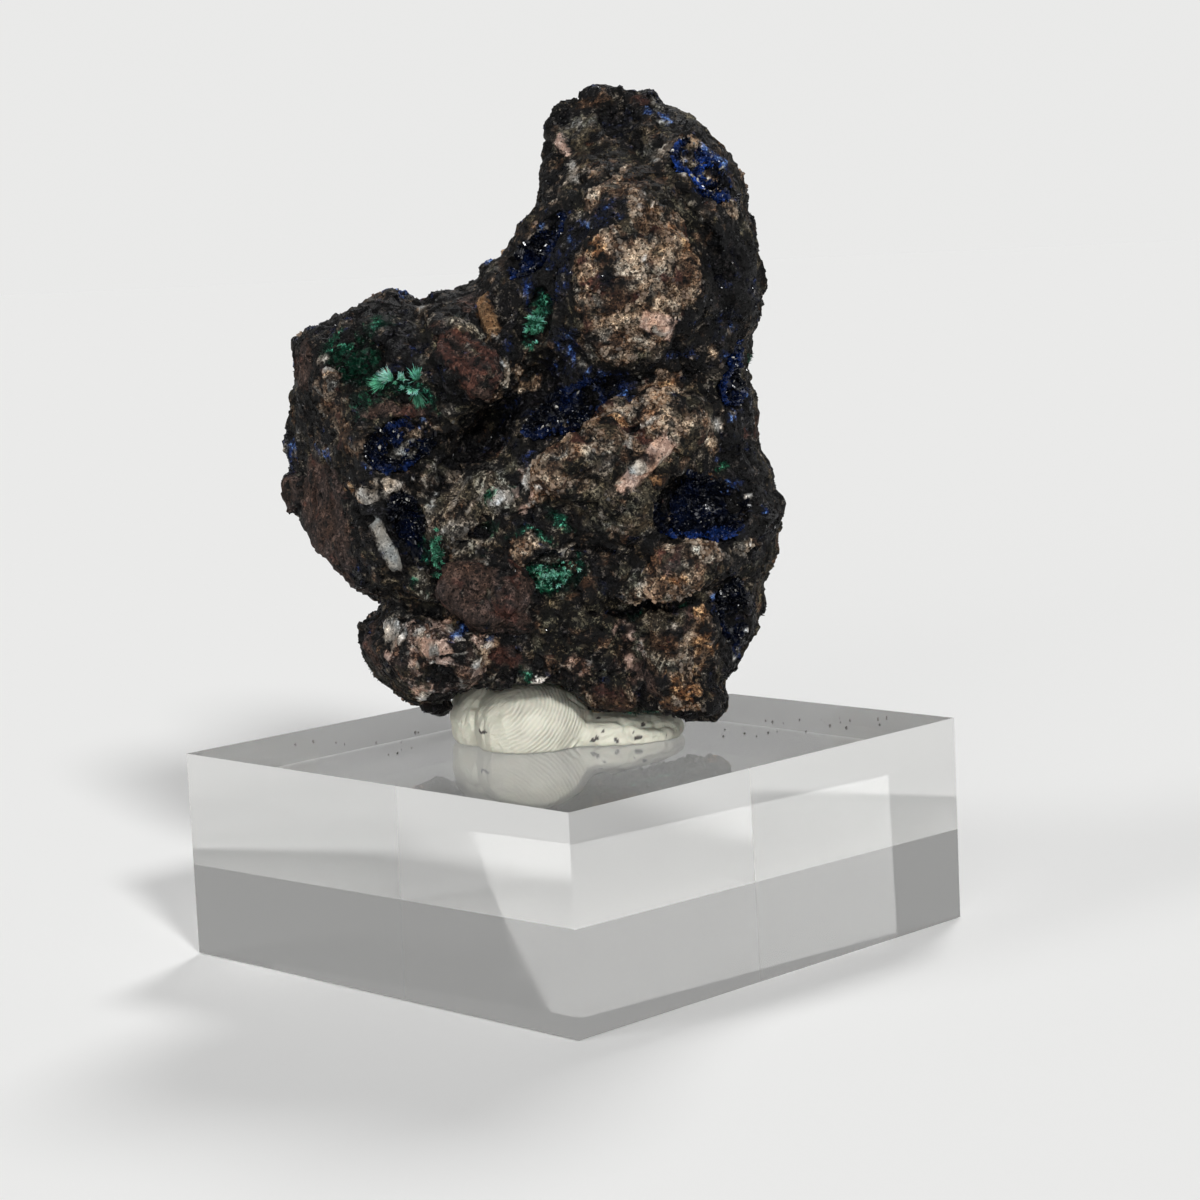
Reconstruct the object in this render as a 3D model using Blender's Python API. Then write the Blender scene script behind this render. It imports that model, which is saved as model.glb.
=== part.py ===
"""Azurite and malachite specimen on a clear acrylic block.

A lump of breccia stands on a square clear block, in a pressed pad of white putty.
Azurite lines hollows in the stone as crusts of pointed crystals, and malachite fills others
with sprays of needles. The stone's show face looks along -Y, and X runs to its right.

Sizes and places below are in millimetres and degrees, and MM turns them into metres. The
origin is the middle of the block's bottom face.
"""

import math
import random
from typing import NamedTuple

import bmesh
import bpy
import numpy as np
from mathutils import Matrix, Vector, geometry, noise

MM = 0.001
SEED = 7

# Clear block, a stock size of 2 x 2 x 3/4 inch, with one corner towards the viewer
BLOCK_SIDE = 50.8
BLOCK_HEIGHT = 19.05
BLOCK_TURN = 45
BLOCK_EDGE = 0.12

# Space kept between pieces that touch
GAP = 0.3

# Stone: thickness either side of its widest section, and how far its rim is rounded
FRONT_THICKNESS = 11.8
BACK_THICKNESS = 11.0
RIM_ROUNDING = 9.0
GRID_STEP = 0.8
STONE_VOXEL = 0.5
STONE_TRIANGLES = 4100
LUMP_SIZE = 1.8
LUMP_HEIGHT = 0.7

# The widest section isn't flat: it wanders to and fro, and comes forward at the foot
RIM_WANDER = 2.5
RIM_WANDER_SIZE = 14
FOOT_FORWARD = 3
FOOT_TOP = 28
FOOT_BLEND = 8

# How far a clast's outline is bent off an oval, in three and in five waves round it
CLAST_BENDS = {3: 0.09, 5: 0.05}

# Broken facets in two sizes: spacing, slope and step from one facet to the next
LARGE_FACETS = (5.5, 0.24, 0.55)
SMALL_FACETS = (2.3, 0.32, 0.26)

# The show face's outline, (x, z), clockwise from the peak
STONE_OUTLINE = [
    (6.5, 79.1), (8.2, 78), (9, 78.4), (10.6, 78.2), (11.5, 76.8), (13, 76), (14.2, 75.4),
    (15, 74.3), (16.3, 73.3), (17.5, 71.5), (18.2, 69.7), (18.5, 67.5), (19.4, 63.5),
    (19.7, 60.5), (19.1, 56.6), (18.1, 55.8), (17.8, 53), (18.8, 49), (18.5, 47.3),
    (19, 45.3), (20, 43.7), (20.4, 41.7), (21, 39.8), (20, 36.6), (20, 35.4), (18.6, 32.7),
    (18.2, 29), (17.3, 27.4), (15.6, 24.9), (14.6, 24.2), (15, 23), (14.6, 21.7), (13.6, 21),
    (11, 20.9), (9, 20.7), (6.6, 21.3), (4.6, 21.1), (2.6, 21.4), (0, 22.4), (-6, 22.6),
    (-9.3, 23.4), (-10.7, 22.9), (-12.7, 22.3), (-15.6, 23.6), (-17.2, 25.3), (-18.8, 27.3),
    (-19.2, 29.2),
    (-19, 31.2), (-16.8, 31.9), (-16.8, 32.7), (-19.4, 34), (-20, 35.2), (-21.8, 37),
    (-23.4, 38.5), (-24.8, 42), (-25.6, 43.5), (-25, 46), (-25.4, 47.3), (-24, 52.5),
    (-24, 57), (-22.9, 58), (-20.3, 58.7), (-18.3, 59.7), (-14.4, 61.2), (-12.6, 60.3),
    (-7.5, 61.3), (-6.4, 62), (-6.2, 63.6), (-4.4, 63.4), (-2.2, 66.6), (-0.8, 68.3),
    (-0.1, 73.9), (0.5, 76.3), (1.9, 78.2), (3.8, 79),
]


class Form(NamedTuple):
    """An oval clast (rise above 0) or pit (rise below 0) on one face of the stone."""

    x: float
    z: float
    half_long: float
    half_wide: float
    turn: float
    rise: float
    edge: float = 0.4


class Cleft(NamedTuple):
    """A groove along a line of (x, z) points."""

    points: tuple
    half_width: float
    depth: float


class Fracture(NamedTuple):
    """A flat break: at (x, z) the face lies at `depth`, and it falls away with the slopes."""

    x: float
    z: float
    depth: float
    slope_x: float
    slope_z: float


FRONT_FORMS = {
    "upper tan clast": Form(7.7, 60, 7.2, 6.6, 10, 2.2, 0.2),
    "tan clast above it": Form(7, 68.7, 4.6, 3.2, 25, 1.7, 0.25),
    "grey clast at the top": Form(3.4, 73, 3.4, 3.8, 0, 1.2),
    "peak knob": Form(6.2, 77.4, 1.9, 1.3, 0, 1),
    "brown knob": Form(9.3, 77, 2, 1.4, -15, 1.2),
    "shoulder rib": Form(16.4, 68, 2, 5, -15, 1),
    "middle tan clast": Form(6.2, 46, 8.6, 4.3, 20, 2.6, 0.2),
    "olive clast": Form(7, 40, 3.4, 3.9, 0, 1.2),
    "lower right clast": Form(10, 35.4, 5.8, 2.7, 14, 2.6, 0.2),
    "rusty clast": Form(10.8, 27, 4.2, 5, 0, 1.4),
    "foot clast": Form(3.4, 25.5, 4.2, 3, -10, 1),
    "right foot": Form(13, 23, 1.9, 1.9, 0, 1.2),
    "lower left lump": Form(-12.5, 28.6, 6.3, 4.4, -14, 3.4, 0.25),
    "mauve clast": Form(-6.4, 34.5, 5, 3.4, -12, 2, 0.25),
    "red lens": Form(-7.4, 55.4, 5.4, 2.3, -52, 2.6, 0.25),
    "cap of the red lens": Form(-9.6, 59.2, 3.4, 1.6, -20, 1.2),
    "streaked clast": Form(-7.4, 41.4, 4, 4.4, 30, 1.1),
    "pink knob": Form(-20, 53.5, 1.3, 2.2, 0, 1),
    "white chunk": Form(-17.3, 44, 1.7, 1.1, -10, 1.3),
    "white knob": Form(-14.9, 44.9, 1.4, 1.1, 0, 1.2),
    "ridge by the left hollow": Form(-16.6, 37.5, 1.1, 4.6, 18, 1.5),
    "first right knob": Form(17.4, 45.4, 1.7, 1.9, 0, 1),
    "second right knob": Form(18.6, 39.4, 1.6, 1.9, 0, 1),
    "third right knob": Form(17.8, 35.6, 1.7, 1.5, 0, 1),
    "crystal knob": Form(16, 27.6, 1.5, 1.7, 0, 1),
    "star pit": Form(6.4, 48.4, 1.5, 1, 0, -1.4),
    "pit under the streaks": Form(-6.6, 40.4, 1, 1, 0, -1.2),
    "cleft mouth": Form(-6.2, 48.4, 4.2, 2.7, 42, -4.5, 0.7),
    "shade by the upper clast": Form(15.8, 60.5, 1.6, 3.4, 10, -1.2, 0.7),
}

FRONT_CLEFTS = {
    "main cleft": Cleft(((-10.5, 44.6), (-6.6, 48), (-3, 51.8), (-1, 53.5)), 3, 4.5),
    "left notch": Cleft(((-21, 33), (-13, 33.2), (-9.5, 31.8)), 1.7, 3.6),
    "fissure under the lower right clast": Cleft(((2.5, 32.2), (9, 32.8), (15.5, 34)), 0.9, 3),
    "ledge above the lower right clast": Cleft(((1, 37.5), (6, 37.7), (10, 38.6)), 0.8, 1.6),
    "valley right of the top": Cleft(((6.3, 76.5), (9.6, 71), (13, 66.5), (15, 61)), 1.7, 2),
    "valley over the middle clast": Cleft(((-1, 51), (8, 52.5), (15, 51.4)), 1.6, 1.8),
    "seam by the rusty clast": Cleft(((4, 22), (5.6, 26.4), (7, 30)), 1, 1.4),
    "seam right of the left lump": Cleft(((-5.6, 24.5), (-6, 28.5), (-8.6, 31.4)), 1.1, 1.6),
}

FRONT_FRACTURES = {
    "flat mauve side": Fracture(-17.5, 45, 11.3, 1.5, 0.1),
    "left shoulder": Fracture(-17, 56, 11.3, 0.5, -1.1),
    "lower left side": Fracture(-17, 30, 12, 1.7, 0.2),
    "right flank": Fracture(14, 45, 12.4, -0.85, 0),
    "top": Fracture(9, 72, 11.8, 0, -0.75),
    "base": Fracture(0, 29, 12.4, 0, 0.42),
}

BACK_FORMS = {
    "big clast": Form(5, 58, 7.5, 6, -20, 1.8, 0.3),
    "left clast": Form(-14, 48, 5.5, 4.5, 30, 1.6, 0.3),
    "low clast": Form(6, 33, 6.5, 4, 10, 1.8, 0.3),
    "small clast": Form(-8, 34, 4, 3, -30, 1.3),
    "top clast": Form(9, 71, 4.5, 3.5, 40, 1.2),
    "middle knob": Form(-4, 55, 3, 2.4, 0, 1.2),
    "side knob": Form(15, 45, 3, 4, 0, 1.1),
    "pit": Form(-3, 44, 5, 4, 20, -1.4, 0.7),
    "upper pit": Form(12, 63.5, 4, 3, 60, -1, 0.7),
}

BACK_CLEFTS = {
    "long cleft": Cleft(((-20, 52), (-9, 50), (0, 48.5), (9, 47.5), (16, 52)), 1.5, 2.2),
    "short cleft": Cleft(((-3, 28), (0, 36), (-1, 41)), 1.3, 1.8),
}

BACK_FRACTURES = {
    "upper break": Fracture(6, 60, 10, 0.12, -0.42),
    "left break": Fracture(-10, 48, 9.8, 0.55, -0.25),
    "lower break": Fracture(2, 40, 11, -0.2, 0.45),
    "right break": Fracture(12, 45, 9.8, -0.9, 0.1),
}


class Hollow(NamedTuple):
    """An oval hollow in the stone, with its centre on the surface, and what has grown in it."""

    x: float
    z: float
    half_long: float
    half_wide: float
    turn: float
    depth: float
    side: str = "front"


AZURITE_HOLLOWS = {
    "azurite_crust_right_pocket": Hollow(12.6, 41, 4.7, 2.9, -2, 3.6),
    "azurite_crust_upper_right": Hollow(14.4, 71, 3.7, 2.1, -52, 2),
    "azurite_crust_band": Hollow(-0.8, 64.6, 3.6, 1.9, 35, 2),
    "azurite_crust_cleft": Hollow(1.4, 50.2, 4.2, 1.8, 22, 2.2),
    "azurite_crust_left": Hollow(-13.2, 47.9, 3.4, 2.2, 15, 2),
    "azurite_crust_left_pocket": Hollow(-13.3, 40.2, 1.5, 3.4, 12, 2.4),
    "azurite_crust_right_edge": Hollow(16.5, 52.4, 1.5, 3.6, -5, 1.6),
    "azurite_crust_lower_right": Hollow(15.6, 31, 1.8, 3.2, 8, 2),
    "azurite_crust_back": Hollow(-3.4, 43.6, 3.8, 2.7, 20, 2.2, "back"),
}

MALACHITE_HOLLOWS = {
    "malachite_carpet_left": Hollow(-17.2, 55.3, 2.9, 2.5, -35, 2.2),
    "malachite_fan_left": Hollow(-12.4, 52.6, 3.1, 1.5, -22, 2),
    "malachite_tuft_upper": Hollow(-1.3, 58.2, 1.4, 2.9, -24, 1.6),
    "malachite_tuft_lower": Hollow(-0.6, 35.6, 2.9, 1.7, 14, 1.6),
    "malachite_strip_left": Hollow(-10.9, 38.2, 0.9, 3.2, 3, 1.1),
    "malachite_back": Hollow(11.6, 63.4, 2.9, 2, 60, 1.7, "back"),
}

# Crust: bowl-shaped, and each of its cells carries one pointed crystal
CRUST_THICKNESS = 0.6
CRUST_REACH = 82
CRUST_RINGS = 3
CRUST_CELLS_AROUND = 11
CRYSTAL_HEIGHT = (0.7, 1.6)
CRYSTAL_LEAN = (-0.25, 0.25)

# Spray: a small core with a needle on each of its faces
SPRAY_CORE = 0.42
SPRAY_REACH = (0.68, 1.0)

# Distance over which the surface's slope is measured where a hollow lies
SLOPE_STEP = 1.5

# A round cutter's flat facets lie inside its radius, so it is made this much larger
FACET_ALLOWANCE = 1.07


class Lobe(NamedTuple):
    """An oval lobe of the putty: centre, half sizes and turn about Z."""

    x: float
    y: float
    z: float
    half_x: float
    half_y: float
    half_z: float
    turn: float


PUTTY_LOBES = {
    "left fold": Lobe(-7.9, -0.6, 21.4, 3, 4, 3.5, 25),
    "pressed front lobe": Lobe(-3.4, -3.6, 21, 5.2, 5.2, 3.9, -8),
    "creased tail": Lobe(4.8, -3, 19.9, 6, 3.7, 1.6, 14),
    "under the stone": Lobe(0.5, 1.2, 20.4, 8.2, 5, 2.7, 8),
    "behind the stone": Lobe(-1.5, 5.2, 20.2, 6, 3.4, 2.6, 10),
}
PUTTY_VOXEL = 0.45
PUTTY_TRIANGLES = 520
PUTTY_CLEARANCE = 0.45

# The stone is cut away in front of these lobes: how far forward, and how much the cut rises
OPEN_LOBES = ("left fold", "pressed front lobe", "creased tail")
OPEN_FORWARD = 10
OPEN_RISE = 0.7


def material(name, colour, roughness, metallic=0.0, clear=False):
    """A material of one colour, and see-through where `clear` is set."""
    made = bpy.data.materials.new(name)
    made.use_nodes = True
    made.diffuse_color = (*colour, 0.3 if clear else 1)
    shader = made.node_tree.nodes["Principled BSDF"]
    shader.inputs["Base Color"].default_value = (*colour, 1)
    shader.inputs["Roughness"].default_value = roughness
    shader.inputs["Metallic"].default_value = metallic
    if clear:
        shader.inputs["Transmission Weight"].default_value = 1
        shader.inputs["IOR"].default_value = 1.49
    return made


def mesh_object(name, points, faces, finish=None):
    """An object from points in millimetres and faces given by point numbers."""
    mesh = bpy.data.meshes.new(name)
    mesh.from_pydata([Vector(point) * MM for point in points], [], faces)
    made = bpy.data.objects.new(name, mesh)
    bpy.context.scene.collection.objects.link(made)
    if finish:
        mesh.materials.append(finish)
    return made


def helper(made):
    """Marks a cutter or guide, which is no part of the specimen."""
    made.hide_render = True
    made.display_type = "WIRE"
    return made


def face_outward(mesh):
    shape = bmesh.new()
    shape.from_mesh(mesh)
    bmesh.ops.recalc_face_normals(shape, faces=shape.faces)
    shape.to_mesh(mesh)
    shape.free()


def smoothstep(value):
    value = np.clip(value, 0, 1)
    return value * value * (3 - 2 * value)


def turned(x, z, centre_x, centre_z, turn):
    """Places measured from a centre, along axes turned anticlockwise by `turn` degrees."""
    angle = math.radians(turn)
    along = (x - centre_x) * math.cos(angle) + (z - centre_z) * math.sin(angle)
    across = (z - centre_z) * math.cos(angle) - (x - centre_x) * math.sin(angle)
    return along, across


def distance_to_line(x, z, points):
    """Distance of each (x, z) to the nearest stretch of a line of points."""
    nearest = np.full(np.shape(x), np.inf)
    for (ax, az), (bx, bz) in zip(points, points[1:]):
        run = (bx - ax) ** 2 + (bz - az) ** 2
        part = np.clip(((x - ax) * (bx - ax) + (z - az) * (bz - az)) / run, 0, 1)
        nearest = np.minimum(nearest, np.hypot(x - ax - part * (bx - ax), z - az - part * (bz - az)))
    return nearest


def facets(x, z, size, chance):
    """Flat facets, each tilted and stepped its own way, round the shaken points of a grid."""
    spacing, slope, step = size
    low = np.min(STONE_OUTLINE, axis=0)
    high = np.max(STONE_OUTLINE, axis=0)
    rows = [np.arange(start, end, spacing) for start, end in zip(low, high)]
    centres = np.stack(np.meshgrid(*rows), axis=-1).reshape(-1, 2)
    centres = centres + chance.uniform(-0.45 * spacing, 0.45 * spacing, centres.shape)
    tilts = chance.uniform(-slope, slope, centres.shape)
    steps = chance.uniform(-step, step, len(centres))
    away_x = x[:, None] - centres[:, 0]
    away_z = z[:, None] - centres[:, 1]
    nearest = np.argmin(np.hypot(away_x, away_z), axis=1)
    row = np.arange(len(x))
    tilted = tilts[nearest, 0] * away_x[row, nearest] + tilts[nearest, 1] * away_z[row, nearest]
    return steps[nearest] + tilted


def rim_forward(x, z):
    """How far towards the viewer the stone's widest section lies at (x, z)."""
    wander = [noise.noise(Vector((a, 0, b)) / RIM_WANDER_SIZE) for a, b in zip(x, z)]
    return RIM_WANDER * np.array(wander) + FOOT_FORWARD * smoothstep((FOOT_TOP - z) / FOOT_BLEND)


def form_height(x, z, form):
    """A flat-topped oval whose outline is bent a little off a true oval, as a clast is."""
    along, across = turned(x, z, form.x, form.z, form.turn)
    around = np.arctan2(across / form.half_wide, along / form.half_long)
    bend = 1 + CLAST_BENDS[3] * np.sin(3 * around + form.x) + CLAST_BENDS[5] * np.sin(5 * around + form.z)
    out = np.hypot(along / form.half_long, across / form.half_wide) / bend
    return form.rise * smoothstep((1 - out) / form.edge)


class Face(NamedTuple):
    """What shapes one side of the stone."""

    thickness: float
    forms: dict
    clefts: dict
    fractures: dict
    sign: int

    def plain_depth(self, x, z):
        """The side with its rounded rim and flat breaks alone."""
        rim = distance_to_line(x, z, STONE_OUTLINE + STONE_OUTLINE[:1])
        inside = 1 - np.clip(rim / RIM_ROUNDING, 0, 1)
        roundness = np.sqrt(1 - inside**2)
        depth = self.thickness * roundness
        for break_face in self.fractures.values():
            plane = (
                break_face.depth
                + break_face.slope_x * (x - break_face.x)
                + break_face.slope_z * (z - break_face.z)
            )
            depth = np.minimum(depth, plane)
        return depth, roundness

    def depth(self, x, z):
        """Distance of the side's surface from the stone's widest section."""
        depth, roundness = self.plain_depth(x, z)
        for form in self.forms.values():
            depth = depth + roundness * form_height(x, z, form)
        for cleft in self.clefts.values():
            near = 1 - distance_to_line(x, z, cleft.points) / cleft.half_width
            depth = depth - roundness * cleft.depth * smoothstep(near)
        chance = np.random.default_rng(SEED + self.sign)
        for size in (LARGE_FACETS, SMALL_FACETS):
            depth = depth + roundness * facets(x, z, size, chance)
        return depth - self.sign * rim_forward(x, z)

    def place(self, x, z):
        """The surface point at (x, z), and the direction that points out of the stone there."""
        step = SLOPE_STEP
        around_x = np.array([x + step, x - step, x, x])
        around_z = np.array([z, z, z + step, z - step])
        plain = self.plain_depth(around_x, around_z)[0]
        slope_x = (plain[0] - plain[1]) / (2 * step)
        slope_z = (plain[2] - plain[3]) / (2 * step)
        real = self.depth(np.array([x]), np.array([z]))[0]
        outward = Vector((-slope_x, self.sign, -slope_z)).normalized()
        return Vector((x, self.sign * real, z)), outward


FACES = {
    "front": Face(FRONT_THICKNESS, FRONT_FORMS, FRONT_CLEFTS, FRONT_FRACTURES, -1),
    "back": Face(BACK_THICKNESS, BACK_FORMS, BACK_CLEFTS, BACK_FRACTURES, 1),
}


def outline_points(step):
    """The stone's outline with a point about every `step`."""
    points = []
    for start, end in zip(STONE_OUTLINE, STONE_OUTLINE[1:] + STONE_OUTLINE[:1]):
        start = Vector(start)
        end = Vector(end)
        count = max(1, round((end - start).length / step))
        points += [start.lerp(end, number / count) for number in range(count)]
    return points


def stone_shape():
    """The stone as one closed mesh: a front and a back side that meet in its outline."""
    rim = outline_points(GRID_STEP)
    low = np.min([tuple(point) for point in rim], axis=0)
    high = np.max([tuple(point) for point in rim], axis=0)
    grid_x, grid_z = np.meshgrid(
        np.arange(low[0], high[0], GRID_STEP), np.arange(low[1], high[1], GRID_STEP)
    )
    grid_x = grid_x.ravel()
    grid_z = grid_z.ravel()
    clear = distance_to_line(grid_x, grid_z, STONE_OUTLINE + STONE_OUTLINE[:1]) > 0.6 * GRID_STEP
    inner = [Vector(point) for point in zip(grid_x[clear], grid_z[clear])]
    count = len(rim)
    loop = [(number, (number + 1) % count) for number in range(count)]
    flat, _, triangles, *_ = geometry.delaunay_2d_cdt(rim + inner, loop, [], 1, 1e-6)
    flat = np.array([tuple(point) for point in flat])
    on_rim = distance_to_line(flat[:, 0], flat[:, 1], STONE_OUTLINE + STONE_OUTLINE[:1]) < 1e-3
    forward = rim_forward(flat[:, 0], flat[:, 1])

    points = []
    sides = {}
    for name, face in FACES.items():
        depth = np.where(on_rim, -face.sign * forward, face.depth(flat[:, 0], flat[:, 1]))
        numbers = []
        for number, (x, z) in enumerate(flat):
            if name == "back" and on_rim[number]:
                numbers.append(sides["front"][number])
                continue
            numbers.append(len(points))
            points.append((x, face.sign * depth[number], z))
        sides[name] = numbers
    faces = [[sides["front"][corner] for corner in triangle] for triangle in triangles]
    faces += [[sides["back"][corner] for corner in reversed(triangle)] for triangle in triangles]
    return points, faces


def cut(target, cutter, name):
    modifier = target.modifiers.new(name, "BOOLEAN")
    modifier.operation = "DIFFERENCE"
    modifier.object = cutter


def remesh(target, voxel, smoothing):
    """Joins a mesh's overlapping shapes in one skin of even cells, and softens it."""
    skin = target.modifiers.new("skin", "REMESH")
    skin.mode = "VOXEL"
    skin.voxel_size = voxel * MM
    soften = target.modifiers.new("soften", "SMOOTH")
    soften.iterations = smoothing


def roughen(target, name, size, height):
    """Lumps of about `size` and `height` millimetres all over a mesh."""
    texture = bpy.data.textures.new(name, "CLOUDS")
    texture.noise_scale = size * MM
    texture.noise_depth = 1
    modifier = target.modifiers.new(name, "DISPLACE")
    modifier.texture = texture
    modifier.strength = height * MM
    modifier.mid_level = 0.5


def thin(target, triangles):
    """Thins the mesh that the modifiers so far give to about this many triangles."""
    bpy.context.view_layer.update()
    graph = bpy.context.evaluated_depsgraph_get()
    evaluated = target.evaluated_get(graph)
    mesh = evaluated.to_mesh()
    mesh.calc_loop_triangles()
    count = len(mesh.loop_triangles)
    evaluated.to_mesh_clear()
    fewer = target.modifiers.new("thin", "DECIMATE")
    fewer.ratio = min(1, triangles / count)
    fewer.use_collapse_triangulate = True


def frame_of(hollow):
    """A hollow's place: its X and Y lie in the stone's surface, and its Z points outward."""
    point, outward = FACES[hollow.side].place(hollow.x, hollow.z)
    angle = math.radians(hollow.turn)
    along = Vector((math.cos(angle), 0, math.sin(angle)))
    along = (along - outward * along.dot(outward)).normalized()
    across = outward.cross(along)
    turn = Matrix((along, across, outward)).transposed()
    return Matrix.Translation(point) @ turn.to_4x4()


def hollow_cutter(name, hollow):
    """The oval that is cut from the stone, a little larger than what grows in it."""
    shape = bmesh.new()
    bmesh.ops.create_icosphere(shape, subdivisions=2, radius=1)
    sizes = [hollow.half_long, hollow.half_wide, hollow.depth]
    scale = Matrix.Diagonal([(size + GAP) * FACET_ALLOWANCE for size in sizes] + [1])
    bmesh.ops.transform(shape, matrix=frame_of(hollow) @ scale, verts=shape.verts)
    points = [vert.co.copy() for vert in shape.verts]
    faces = [[vert.index for vert in face.verts] for face in shape.faces]
    shape.free()
    cutter = helper(mesh_object(name + "_hollow", points, faces))
    face_outward(cutter.data)
    return cutter


def crust(name, hollow, finish, chance):
    """A hollow's crystals: a bowl that lines it, with a pointed crystal on each inner cell."""
    frame = frame_of(hollow)
    outer_sizes = Vector((hollow.half_long, hollow.half_wide, hollow.depth))
    inner_sizes = outer_sizes - Vector((1, 1, 1)) * CRUST_THICKNESS
    points = []

    def bowl(sizes):
        """Numbers of a bowl's points: its lowest one, then its rings, each closed on itself."""
        lowest = len(points)
        points.append(Vector((0, 0, -sizes.z)))
        rings = []
        for ring in range(1, CRUST_RINGS + 1):
            polar = math.radians(CRUST_REACH * ring / CRUST_RINGS)
            first = len(points)
            for cell in range(CRUST_CELLS_AROUND):
                around = 2 * math.pi * (cell + 0.5 * (ring % 2)) / CRUST_CELLS_AROUND
                x = sizes.x * math.sin(polar) * math.cos(around)
                y = sizes.y * math.sin(polar) * math.sin(around)
                points.append(Vector((x, y, -sizes.z * math.cos(polar))))
            rings.append([*range(first, len(points)), first])
        return lowest, rings

    def strip(inner, outer):
        """The cells between two rings."""
        pairs = zip(zip(inner, inner[1:]), zip(outer, outer[1:]))
        return [[here, there, there_next, here_next] for (here, here_next), (there, there_next) in pairs]

    def cells(lowest, rings):
        found = [[lowest, here, here_next] for here, here_next in zip(rings[0], rings[0][1:])]
        for inner, outer in zip(rings, rings[1:]):
            found += strip(inner, outer)
        return found

    outer_lowest, outer_rings = bowl(outer_sizes)
    inner_lowest, inner_rings = bowl(inner_sizes)
    faces = cells(outer_lowest, outer_rings) + strip(outer_rings[-1], inner_rings[-1])
    for corners in cells(inner_lowest, inner_rings):
        middle = sum((points[corner] for corner in corners), Vector()) / len(corners)
        lean = Vector((chance.uniform(*CRYSTAL_LEAN), chance.uniform(*CRYSTAL_LEAN), 1))
        tip = len(points)
        points.append(middle + lean * chance.uniform(*CRYSTAL_HEIGHT))
        for first, second in zip(corners, corners[1:] + corners[:1]):
            faces.append([second, first, tip])
    made = mesh_object(name, [frame @ point for point in points], faces, finish)
    face_outward(made.data)
    return made


def spray(name, hollow, finish, chance):
    """A hollow's needles: one on each face of a small oval core."""
    frame = frame_of(hollow)
    core = bmesh.new()
    bmesh.ops.create_icosphere(core, subdivisions=2, radius=1)
    sizes = Matrix.Diagonal((hollow.half_long, hollow.half_wide, hollow.depth))
    points = [vert.co * SPRAY_CORE for vert in core.verts]
    faces = []
    for face in core.faces:
        tip = len(points)
        points.append(face.calc_center_median().normalized() * chance.uniform(*SPRAY_REACH))
        corners = [vert.index for vert in face.verts]
        for first, second in zip(corners, corners[1:] + corners[:1]):
            faces.append([first, second, tip])
    core.free()
    made = mesh_object(name, [frame @ (sizes @ point) for point in points], faces, finish)
    face_outward(made.data)
    return made


def drawn_forward(lobe):
    """A lobe made longer towards the viewer, and a little higher."""
    half = OPEN_FORWARD / 2
    return lobe._replace(y=lobe.y - half, z=lobe.z + OPEN_RISE, half_y=lobe.half_y + half, turn=0)


def putty_skin(name, lobes, swell):
    """Lobes of putty, each larger by `swell`, joined in one skin."""
    shape = bmesh.new()
    for lobe in lobes:
        sizes = [size + swell for size in (lobe.half_x, lobe.half_y, lobe.half_z)]
        place = Matrix.Translation((lobe.x, lobe.y, lobe.z))
        turn = Matrix.Rotation(math.radians(lobe.turn), 4, "Z")
        scale = Matrix.Diagonal((*sizes, 1))
        bmesh.ops.create_icosphere(shape, subdivisions=3, radius=1, matrix=place @ turn @ scale)
    points = [vert.co.copy() for vert in shape.verts]
    faces = [[vert.index for vert in face.verts] for face in shape.faces]
    shape.free()
    made = mesh_object(name, points, faces)
    remesh(made, PUTTY_VOXEL, smoothing=6)
    thin(made, PUTTY_TRIANGLES)
    return made


def make_block():
    finish = material("clear acrylic", (0.9, 0.9, 0.89), 0.03, clear=True)
    size = Vector((BLOCK_SIDE, BLOCK_SIDE, BLOCK_HEIGHT)) * MM
    shape = bmesh.new()
    bmesh.ops.create_cube(shape, size=1)
    bmesh.ops.scale(shape, vec=size, verts=shape.verts)
    mesh = bpy.data.meshes.new("acrylic_block")
    shape.to_mesh(mesh)
    shape.free()
    mesh.materials.append(finish)
    made = bpy.data.objects.new("acrylic_block", mesh)
    bpy.context.scene.collection.objects.link(made)
    made.location.z = BLOCK_HEIGHT / 2 * MM
    made.rotation_euler.z = math.radians(BLOCK_TURN)
    bevel = made.modifiers.new("polished edge", "BEVEL")
    bevel.width = BLOCK_EDGE * MM
    bevel.segments = 1


def make_putty():
    made = putty_skin("mounting_putty", PUTTY_LOBES.values(), 0)
    made.data.materials.append(material("white putty", (0.72, 0.70, 0.64), 0.6))
    floor = bpy.data.meshes.new("below_the_putty")
    shape = bmesh.new()
    size = BLOCK_SIDE * MM
    top = (BLOCK_HEIGHT + GAP) * MM
    below = Matrix.Translation((0, 0, top - size / 2))
    bmesh.ops.create_cube(shape, size=size, matrix=below)
    shape.to_mesh(floor)
    shape.free()
    cutter = helper(bpy.data.objects.new("below_the_putty", floor))
    bpy.context.scene.collection.objects.link(cutter)
    cut(made, cutter, "flat foot")


def make_stone():
    points, faces = stone_shape()
    made = mesh_object("breccia_matrix", points, faces, material("breccia", (0.13, 0.1, 0.085), 0.75))
    remesh(made, STONE_VOXEL, smoothing=1)
    roughen(made, "lumps", LUMP_SIZE, LUMP_HEIGHT)
    thin(made, STONE_TRIANGLES)
    imprint = list(PUTTY_LOBES.values())
    imprint += [drawn_forward(PUTTY_LOBES[name]) for name in OPEN_LOBES]
    cut(made, helper(putty_skin("putty_imprint", imprint, PUTTY_CLEARANCE)), "putty imprint")
    return made


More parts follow.
